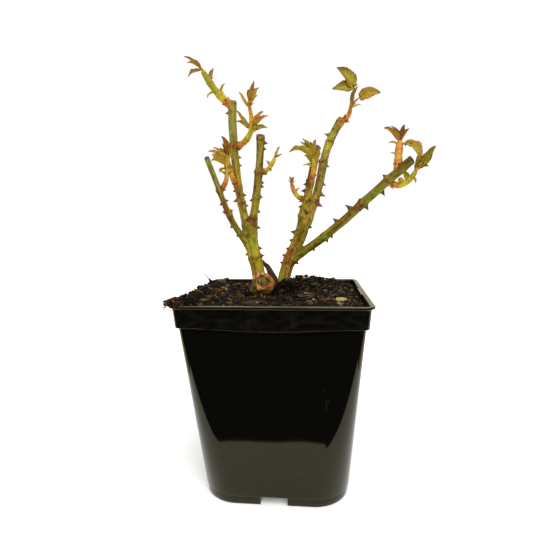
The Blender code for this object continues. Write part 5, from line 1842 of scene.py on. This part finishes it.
def stump_pigment_and_shade(colour, radius, turn, depth, across, cut, closed):
    """The pale roll, the grey core with its ridge, and the dark seam between them, painted shade in its
    groove.
    """
    rays = 0.5 + 0.5 * rough(cos(turn) * 7.0, sin(turn) * 7.0, 2.0)
    bright = blend(CALLUS["roll"], CALLUS["light"], smooth(rays, 0.3, 0.7))
    lines = rough(across * 5.0, sin(turn) * radius * 0.9, 4.0)
    core = glaze(CALLUS["core"], (CALLUS["core_dark"], smooth(lines, 0.02, 0.4)),
                 (CALLUS["light"], 0.85 * exp(-((across - 0.50) / 0.07) ** 2)))
    # The crack colour along the seam is painted shade in the groove that build_knob cuts there
    return glaze(colour, (bright, exp(-((radius - 1.0) / 0.26) ** 2) * closed),
                 (core, 1.0 - smooth(cut, 0.58, 0.70)),
                 (CALLUS["crack"], 0.85 * (exp(-((cut - 0.66) / 0.07) ** 2) * closed)))


def knob_pigment_and_shade(point):
    x, y, z = [c / MM for c in point]
    at = stump_place(point)
    wobble = 0.5 + 0.5 * noise.noise(point * 300.0)
    colour = blend(CALLUS["brown"], CALLUS["roll"], 0.7 * wobble)
    if at["depth"] > -5.0 and at["radius"] < 1.8:
        colour = stump_pigment_and_shade(colour, **at)
    left = smooth(-x, 20.6, 22.4) * (1.0 if z < 209.0 else 0.0)
    rib = 0.5 + 0.5 * sin(atan2(y, x + 22.0) * 13.0)
    crease = exp(-((x + 22.4) / 0.9) ** 2) * smooth(z, 196.0, 200.0)
    hollow = rough(point.x * 330.0, point.y * 330.0, point.z * 90.0)
    # Painted shade: crack colour in the crease at the left, and peat colour over the knob's right part
    # as painted shadow in the gap by the right cane; the knob is also darker towards the bottom
    return glaze(colour, (blend(CALLUS["foot"], CALLUS["foot_dark"], rib * 0.7), left),
                 (CALLUS["crack"], 0.7 * crease),
                 (CALLUS["crack"], 0.75 * (1.0 - smooth(z, 191.0, 197.0))),
                 (SOIL["peat"], smooth(x, -5.0, -2.5) * 0.85),
                 (CALLUS["crack"], 0.40 * smooth(hollow, 0.25, 0.5)))


def build_knob(material):
    body = melt("graft_knob", KNOB_LUMPS, callus_roll(), 0.55 * MM, 4)
    mesh = body.data
    normals = [v.normal.copy() for v in mesh.vertices]
    for vert, normal in zip(mesh.vertices, normals):
        p = vert.co
        push = 0.7 * MM * noise.noise(p * 260.0) + 0.35 * MM * noise.noise(p * 700.0)
        radius, turn, depth, across, cut, closed = stump_place(p).values()
        if depth > -4.0:
            push -= 1.1 * MM * closed * exp(-((cut - 0.66) / 0.08) ** 2)
            push += 0.9 * MM * exp(-((across - 0.50) / 0.08) ** 2) * (1 - smooth(cut, 0.5, 0.65))
            push += 0.35 * MM * sin(9.0 * turn) * exp(-((radius - 1.1) / 0.3) ** 2)
        push -= 0.8 * MM * exp(-((p.x / MM + 22.4) / 0.8) ** 2)
        ribs = smooth(-p.x / MM, 18.0, 23.0)
        push += 0.45 * MM * ribs * sin(atan2(p.y, p.x + 0.022) * 13.0)
        vert.co = p + normal * push
    bm = bmesh.new()
    bm.from_mesh(mesh)
    geometry = bm.verts[:] + bm.edges[:] + bm.faces[:]
    bmesh.ops.bisect_plane(bm, geom=geometry, plane_co=(0, 0, STOCK_CUT), plane_no=(0, 0, -1),
                           clear_outer=True)
    bmesh.ops.holes_fill(bm, edges=[e for e in bm.edges if e.is_boundary], sides=0)
    bm.to_mesh(mesh)
    bm.free()
    refinish(mesh, material, knob_pigment_and_shade)
    return body


def callus_finish(name, scale):
    """Corky new bark: stored pigment, fine cracks, dry and rough."""
    finish = Finish(bpy.data.materials.new(name))
    place = finish.place()
    fine = finish.noise(finish.stretch(place, (scale, scale, scale * 0.35)), 1.0, 4.0, 0.7)
    folds = finish.noise(finish.stretch(place, (scale * 0.5, scale * 0.5, scale * 0.12)), 1.0, 2.0)
    crack = folds.within(0.58, 0.70)
    colour = finish.two_tone(fine.within(0.36, 0.60), (0.58, 0.50, 0.42), (1.18, 1.14, 1.06))
    return finish.dress(base_color=finish.mix(crack * 0.35, colour, CALLUS["crack"]),
                        roughness=0.72 + fine * 0.2,
                        normal=finish.bump(fine - crack * 0.5, 0.0006, 0.7),
                        specular_ior_level=0.2)


settle(build_knob(callus_finish("callus_bark", 1300.0)), "stock_bark", "graft_stock")

# %% [markdown]
# ## The dead stub
# Beside the knob stands the dried end of an old twig.  It is grey-brown, ribbed, split at the
# end, and hooked over.  It is swept like a limb, but its relief is deep ribs instead of nodes.

# %% dead stub
DEAD = palette(light=(92, 62, 42), mid=(66, 40, 24), dark=(34, 20, 13))


def stub_skin(t, a, outward, grain, ahead):
    rib = rough(cos(a) * 2.4, sin(a) * 2.4, grain.z * 30.0)
    knobby = rough(cos(a), sin(a), grain.z * 210.0)
    reach = limb_radius(LIMBS["dead_stub"], t) * (1.0 + 0.30 * rib + 0.28 * knobby)
    end = smooth(t, 0.93, 1.0)
    ragged = 0.9 * MM * rough(cos(a) * 3, sin(a) * 3, 9.0) * end
    # Painted light: the rib crests that the same noise pushes out are paler, and the grooves darker as
    # painted shade
    colour = glaze(DEAD["mid"], (DEAD["light"], smooth(rib, -0.1, 0.4)),
                   (DEAD["dark"], smooth(-rib, 0.05, 0.4)), (DEAD["dark"], 0.7 * end))
    return outward * reach * (1.0 - 0.25 * end) + ahead * ragged, colour


def build_stub(material):
    limb = LIMBS["dead_stub"]
    rows, steps = 44, 28
    rings, tints, grains = sweep(limb, [row / rows for row in range(rows + 1)], steps,
                                 lambda t: limb_radius(limb, t), stub_skin)
    middle, ahead = limb_point(limb, 1.0), frame_at(limb, 1.0)[0]
    for scale, sink in ((0.75, 0.5), (0.35, 1.1)):
        rings.append([middle + (p - middle) * scale - ahead * (sink * MM) for p in rings[rows]])
        tints.append([DEAD["dark"]] * steps)
        grains.append(grains[rows])
    shape = Shape()
    shape.rings(rings, tints, grains)
    return shape.make("dead_stub_wood", [material], 50.0)


settle(build_stub(callus_finish("dead_wood", 1600.0)), "dead_wood", "dead_stub")
# %% [markdown]
# ## Young shoots
# A rose shoot in its second week is a soft stem with three to five unfolding leaves.  Each leaf
# has a stalk with two narrow wings at its foot, and leaflets that are still folded along the
# midrib, green near the vein and bronze at the toothed margin.  Flat cards with a leaf picture
# would be quick, but they have no edge and no thickness, so every leaflet here is a thin closed
# blade in its own outline.  Stems, stalks and leaves follow the plain model's seeded rule.

# %% pigments of the young growth
YOUNG = palette(
    chartreuse=(192, 180, 34), green=(146, 150, 30), olive=(148, 132, 26),
    gold=(200, 164, 44), orange=(206, 134, 42), rust=(166, 94, 34),
    bronze=(168, 112, 40), copper=(190, 126, 56), plum=(122, 60, 40),
    umber=(118, 74, 28), blush=(216, 148, 84), leaf=(138, 136, 26),
)
# slim: how much thinner the stem is than the plain one.  stem: places along it and pigments.
# leaves: for each leaf, the pigment by the vein and at the margin.
DYES = dict(
    tall_bough_top_shoot=dict(
        stem="0 orange, 0.12 rust, 0.25 chartreuse, 0.5 green, 1 leaf",
        leaves="umber plum, bronze umber, olive umber, bronze umber, chartreuse green, "
               "green chartreuse"),
    tall_bough_middle_shoot=dict(
        slim=0.72, stem="0 rust, 0.2 orange, 0.45 chartreuse, 0.7 gold, 1 rust",
        leaves="olive bronze, olive bronze, gold bronze, bronze umber, olive umber, leaf umber, "
               "orange bronze, gold olive, copper rust, chartreuse green"),
    tall_bough_lower_shoot=dict(
        slim=0.8, stem="0 rust, 0.25 copper, 0.6 gold, 1 olive",
        leaves="bronze umber, chartreuse bronze, olive bronze, umber plum, rust umber, gold rust"),
    thin_bough_shoot=dict(
        slim=0.8, stem="0 rust, 0.4 copper, 0.7 gold, 1 olive",
        leaves="chartreuse olive, olive bronze, gold bronze, green bronze, rust umber, umber plum"),
    short_bough_shoot=dict(
        slim=0.84, stem="0 plum, 0.25 rust, 0.45 chartreuse, 1 chartreuse",
        leaves="chartreuse green, green olive, chartreuse gold, olive bronze"),
    inner_bough_shoot=dict(
        slim=0.74, stem="0 rust, 0.3 orange, 0.6 gold, 1 chartreuse",
        leaves="leaf olive, green olive, leaf bronze, olive umber, chartreuse olive, leaf umber, "
               "rust umber, copper rust"),
    inner_bough_bud=dict(
        slim=0.7, stem="0 plum, 0.25 rust, 0.55 chartreuse, 0.8 orange, 1 rust",
        leaves="rust umber, bronze plum, orange rust"),
    outer_bough_shoot=dict(
        slim=0.74, stem="0 rust, 0.4 orange, 0.8 bronze, 1 plum",
        leaves="leaf umber, olive rust, leaf olive, green chartreuse"),
    low_bough_upper_shoot=dict(
        stem="0 rust, 0.25 blush, 0.5 gold, 0.75 blush, 1 copper",
        leaves="rust plum, umber plum, leaf bronze, gold rust, blush rust"),
    low_bough_lower_shoot=dict(
        slim=0.9, stem="0 orange, 0.25 gold, 0.6 chartreuse, 1 green",
        leaves="leaf umber, olive umber, green orange, chartreuse green, green orange"),
)
print("dyed shoots:", len(DYES))

# %% leaf rule
# petiole: share of the reach that is bare stalk.  spread: how far the side leaflets stand
# off.  sides: their sizes against the end leaflet.  fold: how far each half blade is lifted.
# face: how far the blade turns its upper side to the front, where the light comes from.
LEAF_STYLES = {
    "folded": dict(petiole=0.17, spread=25, sides=(0.80, 0.68), fold=56, width=0.50, face=24),
    "single": dict(petiole=0.14, spread=0, sides=(), fold=50, width=0.46, face=24),
    "narrow": dict(petiole=0.14, spread=17, sides=(0.62, 0.50), fold=58, width=0.36, face=24),
    "open": dict(petiole=0.46, spread=84, sides=(0.22, 1.02), fold=20, width=0.66, face=68),
    "stalked": dict(petiole=0.42, spread=44, sides=(0.5, 0.4), fold=18, width=0.78, face=74),
    "broad": dict(petiole=0.20, spread=38, sides=(0.48, 0.42), fold=30, width=0.60, face=45),
    "slim": dict(petiole=0.18, spread=0, sides=(), fold=55, width=0.36, face=10),
    "scale": dict(petiole=0.08, spread=0, sides=(), fold=30, width=0.50, face=0),
}


def clear_of_limbs(point, margin):
    return all(skin_gap(limb, point, 40) >= margin for limb in LIMBS.values())


def aim(bearing, climb):
    b, c = radians(bearing), radians(climb)
    return Vector((cos(b) * cos(c), sin(b) * cos(c), sin(c)))


def leaf_arc(origin, direction, reach, arch, s):
    """A leaf's midline: straight out, humped by arch, where s runs from 0 to 1."""
    up = Vector((0.0, 0.0, 1.0))
    rise = up - direction * up.dot(direction)
    if rise.length < 0.2:
        rise = Vector((1.0, 0.0, 0.0)) - direction * direction.x
    rise.normalize()
    return origin + direction * (reach * s) + rise * (reach * arch * 4.0 * s * (1.0 - s))


def blade_up(ahead, face):
    """The way a blade's upper side looks: skyward, turned to the front by face degrees."""
    a = radians(face)
    sky = Vector((0.0, -sin(a), cos(a)))
    up = sky - ahead * sky.dot(ahead)
    if up.length < 0.25:
        sky = Vector((0.0, -1.0, 0.0))
        up = sky - ahead * sky.dot(ahead)
    return up.normalized()


print("leaf styles:", ", ".join(LEAF_STYLES))

# %% blade
BLADE_ROWS = 30
BLADE_COLUMNS = 9
TOOTH_ROWS = 4
LEAF_THICK = 0.34 * MM


def outline_share(s):
    """Half width along a leaflet as a share of its greatest half width."""
    return max(0.0, sin(pi * (0.07 + 0.93 * s ** 0.78))) ** 0.75


def add_blade(shape, spine, width, fold, face, dye, shift, teeth=True, curl=0.10):
    """A thin closed leaflet: folded along the midrib, toothed, with raised veins."""
    ahead = (spine(1.0) - spine(0.0)).normalized()
    reach = (spine(1.0) - spine(0.0)).length
    up = blade_up(ahead, face)
    across = ahead.cross(up)
    lift, wide = sin(radians(fold)), cos(radians(fold))
    vein, margin = dye
    bite = 0.10 * smooth(width / MM, 4.0, 11.0)
    hook = 0.16 * sin(5.0 * shift) * reach
    grid, shades = [], []
    for row in range(BLADE_ROWS + 1):
        s = row / BLADE_ROWS
        half = 0.5 * width * outline_share(s)
        tooth = 0.0
        if teeth and 0.14 < s < 0.97:
            tooth = ((row % TOOTH_ROWS) / (TOOTH_ROWS - 1) - 0.5) * bite
        middle = spine(s) - up * (0.5 * half * lift)
        middle += across * (hook * s * s) - up * (curl * reach * smooth(s, 0.62, 1.0) ** 2 * 0.6)
        line, line_shades = [], []
        for col in range(BLADE_COLUMNS):
            c = 2.0 * col / (BLADE_COLUMNS - 1) - 1.0
            far = abs(c)
            stretch = half * (1.0 + (tooth if far > 0.9 else 0.0))
            wave = rough(s * 3.1 + shift, c * 1.3, shift * 2.0)
            veins = sin(2.0 * pi * (s * 6.5 - far * 0.9)) * smooth(far, 0.05, 0.3)
            height = stretch * lift * far ** 1.15 + 0.16 * width * wave * far
            height += 0.10 * MM * veins - 0.14 * MM * exp(-(far / 0.1) ** 2)
            line.append(middle + across * (stretch * wide * c) + up * height)
            edge = smooth(far + 0.35 * s + 0.25 * wave, 0.42, 1.12)
            line_shades.append(glaze(
                YOUNG[vein], (YOUNG[margin], edge),
                (YOUNG["chartreuse"], 0.30 * smooth(veins, 0.3, 1.0) * (1 - edge)),
                (YOUNG["gold"], 0.75 * exp(-(far / 0.09) ** 2) * (1 - s)),
                (YOUNG["umber"], 0.45 * smooth(s, 0.85, 1.0))))
        grid.append(line)
        shades.append(line_shades)
    upper, lower = [], []
    for row in range(BLADE_ROWS + 1):
        for col in range(BLADE_COLUMNS):
            along = grid[min(row + 1, BLADE_ROWS)][col] - grid[max(row - 1, 0)][col]
            over = grid[row][min(col + 1, BLADE_COLUMNS - 1)] - grid[row][max(col - 1, 0)]
            normal = along.cross(over)
            normal = normal.normalized() if normal.length > 1e-12 else up
            if normal.dot(up) < 0.0 and fold < 80:
                normal = -normal
            thin = 0.5 * LEAF_THICK * (0.45 if col in (0, BLADE_COLUMNS - 1) else 1.0)
            rib = 0.30 * MM * exp(-((2.0 * col / (BLADE_COLUMNS - 1) - 1.0) / 0.12) ** 2)
            rib *= 1.0 - row / BLADE_ROWS
            upper.append(grid[row][col] + normal * thin)
            lower.append(grid[row][col] - normal * (thin + rib))
    tints = chain(shades)
    under = [glaze(c, (YOUNG["copper"], 0.25), (YOUNG["chartreuse"], 0.15)) for c in tints]
    shape.sheet(upper, lower, BLADE_COLUMNS, tints, under)


def add_rod(shape, course, radii, colours, sides=10):
    """A soft round stalk along a course of points; colours give one pigment per point."""
    rings, tints = [], []
    for k, p in enumerate(course):
        ahead = (course[min(k + 1, len(course) - 1)] - course[max(k - 1, 0)]).normalized()
        side = Vector((1.0, 0.0, 0.0)) - ahead * ahead.x
        if side.length < 0.2:
            side = Vector((0.0, 1.0, 0.0)) - ahead * ahead.y
        side.normalize()
        other = ahead.cross(side)
        ring = []
        for i in range(sides):
            a = 2.0 * pi * i / sides
            lump = 1.0 + 0.07 * noise.noise(p * 600.0 + Vector((cos(a), sin(a), 0.0)))
            ring.append(p + (side * cos(a) + other * sin(a)) * (radii[k] * lump))
        rings.append(ring)
        tints.append([colours[k]] * sides)
    shape.rings(rings, tints)


print("blade rows and columns:", BLADE_ROWS, BLADE_COLUMNS)

# %% stems
stems, leaves = Shape(), Shape()
extra = random.Random(SEED * 31)


def grow_stem(name):
    """The shoot's own stem: swollen joints, ridges, and a pointed bud at its end."""
    stem = STEMS[name]
    steps = max(14, round(limb_length(stem) / (0.9 * MM)))

    def taper(t):
        return sqrt(max(0.0, 1.0 - smooth(t, 0.90, 1.0) ** 1.3 * 0.985))

    def width(t):
        return limb_radius(stem, t) * DYES[name].get("slim", 0.9) * taper(t)

    def skin(t, a, outward, grain, ahead):
        ridge = 0.22 * MM * grain_noise(grain, 500, 60)
        streak = grain_noise(grain, 700, 60, (0, 0, 3))
        # sunny is the side toward the key light; the rust laid on the side away from it is painted shade
        sunny = 0.5 + 0.5 * cos(a - radians(-50.0))
        joints = [(YOUNG["plum"], 0.35 * exp(-((t - node) * limb_length(stem) / (1.2 * MM)) ** 2))
                  for node in stem["nodes"]]
        return outward * (width(t) + ridge * taper(t)), glaze(
            along_pigment(DYES[name]["stem"], YOUNG, t),
            (YOUNG["rust"], 0.35 * smooth(1.0 - sunny, 0.5, 1.0)),
            (YOUNG["rust"], 0.5 * smooth(streak, 0.15, 0.5)), *joints)

    stops = [row / steps for row in range(steps + 1)]
    stems.rings(*sweep(stem, stops, 20, width, skin))


def add_bud_scales(name):
    """Brown scales that sheathed the bud, spread round the foot of the shoot."""
    stem = STEMS[name]
    host = LIMBS[SHOOTS[name]["host"]]
    foot = next((k / 100.0 for k in range(100)
                 if skin_gap(host, limb_point(stem, k / 100.0), 60) > -0.3 * MM), 0.0)
    ahead, side, back = frame_at(stem, foot)
    middle = limb_point(stem, foot)
    radius = limb_radius(stem, foot)
    for k in range(5):
        a = 2.0 * pi * (k + extra.uniform(-0.2, 0.2)) / 5
        out = side * cos(a) + back * sin(a)
        start = middle + out * (radius * 0.82) - ahead * (0.8 * MM)
        length = extra.uniform(3.0, 5.0) * MM
        lean = out * 0.22 + ahead

        def spine(s, start=start, lean=lean, length=length, out=out):
            return start + lean * (length * s) + out * (0.6 * MM * s * s)

        add_scale(stems, spine, 0.9 * radius, out, ("rust", "umber"))


def add_scale(shape, spine, width, out, dye):
    """A small clasping scale: cupped round the stem, thick at its foot, thin at its point."""
    rows, columns = 8, 5
    ahead = (spine(1.0) - spine(0.0)).normalized()
    across = ahead.cross(out).normalized()
    upper, lower, tints = [], [], []
    for row in range(rows + 1):
        s = row / rows
        half = 0.5 * width * max(0.03, sin(pi * (0.22 + 0.78 * s)) ** 0.8)
        for col in range(columns):
            c = 2.0 * col / (columns - 1) - 1.0
            p = spine(s) + across * (half * c) - out * (half * 0.55 * c * c)
            upper.append(p + out * 0.16 * MM)
            lower.append(p - out * 0.16 * MM)
            tints.append(blend(YOUNG[dye[0]], YOUNG[dye[1]], s))
    shape.sheet(upper, lower, columns, tints, tints)


# %% leaves
def add_wings(origin, direction, reach, arch, share, up, dye):
    """The two stipules: narrow wings along the stalk's foot, with free points."""
    across = direction.cross(up).normalized()
    length = min(7.5 * MM, max(3.5 * MM, 0.42 * reach))
    for hand in (-1, 1):
        def spine(s, hand=hand):
            base = leaf_arc(origin, direction, reach, arch, min(share, s * length / reach))
            over = max(0.0, s * length - share * reach)
            spread = 0.6 * MM + 1.9 * MM * s * s
            return base + direction * over + across * (hand * spread) - up * (0.4 * MM * s)

        add_blade(leaves, spine, 2.0 * MM, 20, 24, dye, origin.z * 100 + hand, False, 0.0)


def grow_leaf(name, number, origin, row, rng):
    """Stalk, wings, end leaflet and side leaflets of one leaf."""
    bearing, climb, reach, arch, style_name = row[1:]
    style = LEAF_STYLES[style_name]
    reach = reach * MM
    direction = aim(bearing + rng.uniform(-3.0, 3.0), climb + rng.uniform(-2.0, 2.0))
    for s in (0.45, 0.6, 0.8, 1.0):
        if not clear_of_limbs(leaf_arc(origin, direction, reach, arch, s), 0.6 * MM):
            return 0
    dye = DYES[name]["leaves"].split(", ")[number].split()
    shift = number * 3.7 + len(name)
    fork = style["petiole"]
    thick = 0.9 if style_name == "scale" else 0.75
    steps = 12
    stalk = [leaf_arc(origin, direction, reach, arch, fork * k / steps) for k in range(steps + 1)]
    red = YOUNG["plum"] if style_name in ("open", "stalked") else YOUNG["orange"]
    colours = [blend(YOUNG[dye[0]], red, 0.45 + 0.5 * k / steps) for k in range(steps + 1)]
    wide_foot = 1.45 if style_name in ("open", "stalked", "scale") else 2.1
    radii = [thick * (wide_foot - (wide_foot - 0.9) * smooth(k / steps, 0.0, 0.8)) * MM
             for k in range(steps + 1)]
    add_rod(stems, stalk, radii, colours)

    def spine(s):
        return leaf_arc(origin, direction, reach, arch, fork - 0.05 + (1.05 - fork) * s)

    blade = reach * (1.0 - fork)
    add_blade(leaves, spine, blade * style["width"], style["fold"], style["face"], dye, shift)
    made = 1
    root = leaf_arc(origin, direction, reach, arch, fork - 0.04)
    ahead = (leaf_arc(origin, direction, reach, arch, fork + 0.05) - root).normalized()
    up = blade_up(ahead, style["face"])
    if style_name != "scale":
        add_wings(origin, direction, reach, arch, fork, up, ("green", "copper"))
    for hand, share in zip((-1, 1), style["sides"]):
        turn = Matrix.Rotation(radians(hand * style["spread"]), 3, up)
        heading = turn @ ahead
        length = blade * share * rng.uniform(0.9, 1.05)

        def side_spine(s, heading=heading, length=length):
            return root + heading * (length * s) + up * (length * 0.08 * 4.0 * s * (1.0 - s))

        if clear_of_limbs(side_spine(1.0), 0.6 * MM):
            add_blade(leaves, side_spine, length * style["width"], style["fold"], style["face"],
                      dye, shift + hand)
            made += 1
    return made


def grow_shoot(name):
    grow_stem(name)
    add_bud_scales(name)
    rng = random.Random(SEED * 7 + len(name))
    made = 0
    for number, row in enumerate(SHOOTS[name]["leaves"]):
        origin = limb_point(STEMS[name], min(row[0], 0.985))
        made += grow_leaf(name, number, origin, row, rng)
    print(name, "leaflets:", made)


for shoot_name in SHOOTS:
    grow_shoot(shoot_name)


# %% young finishes
def young_stem_finish():
    """Soft waxy skin with a faint bloom: stored pigment, fine streaks and mottling."""
    finish = Finish(bpy.data.materials.new("young_stem"))
    place = finish.place()
    fine = finish.noise(place, 1600.0, 3.0, 0.6)
    mottle = finish.noise(place, 380.0, 2.0)
    colour = finish.two_tone((fine * 0.5 + mottle * 0.5).within(0.36, 0.62),
                             (0.78, 0.70, 0.58), (1.18, 1.15, 1.05))
    return finish.dress(base_color=colour, roughness=0.34 + fine * 0.15,
                        normal=finish.bump(fine, 0.0002, 0.5), specular_ior_level=0.22)


def young_leaf_finish():
    """Glossy new leaf: stored pigment, netted small veins, darker dimples between them."""
    finish = Finish(bpy.data.materials.new("young_leaf"))
    place = finish.place()
    net = finish.cells(place, 1300.0, "DISTANCE_TO_EDGE").within(0.0, 0.12)
    mottle = finish.noise(place, 520.0, 3.0)
    colour = finish.two_tone(mottle.within(0.34, 0.64), (0.80, 0.75, 0.66), (1.12, 1.10, 1.04))
    return finish.dress(base_color=finish.mix((1.0 - net) * 0.14, colour, YOUNG["chartreuse"]),
                        roughness=0.33 + mottle * 0.2, normal=finish.bump(net, 0.00025, 0.45),
                        specular_ior_level=0.22)


settle(stems.make("young_stems", [young_stem_finish()]), "young_growth", *SHOOTS)
settle(leaves.make("young_leaves", [young_leaf_finish()], 60.0), "young_growth", *SHOOTS)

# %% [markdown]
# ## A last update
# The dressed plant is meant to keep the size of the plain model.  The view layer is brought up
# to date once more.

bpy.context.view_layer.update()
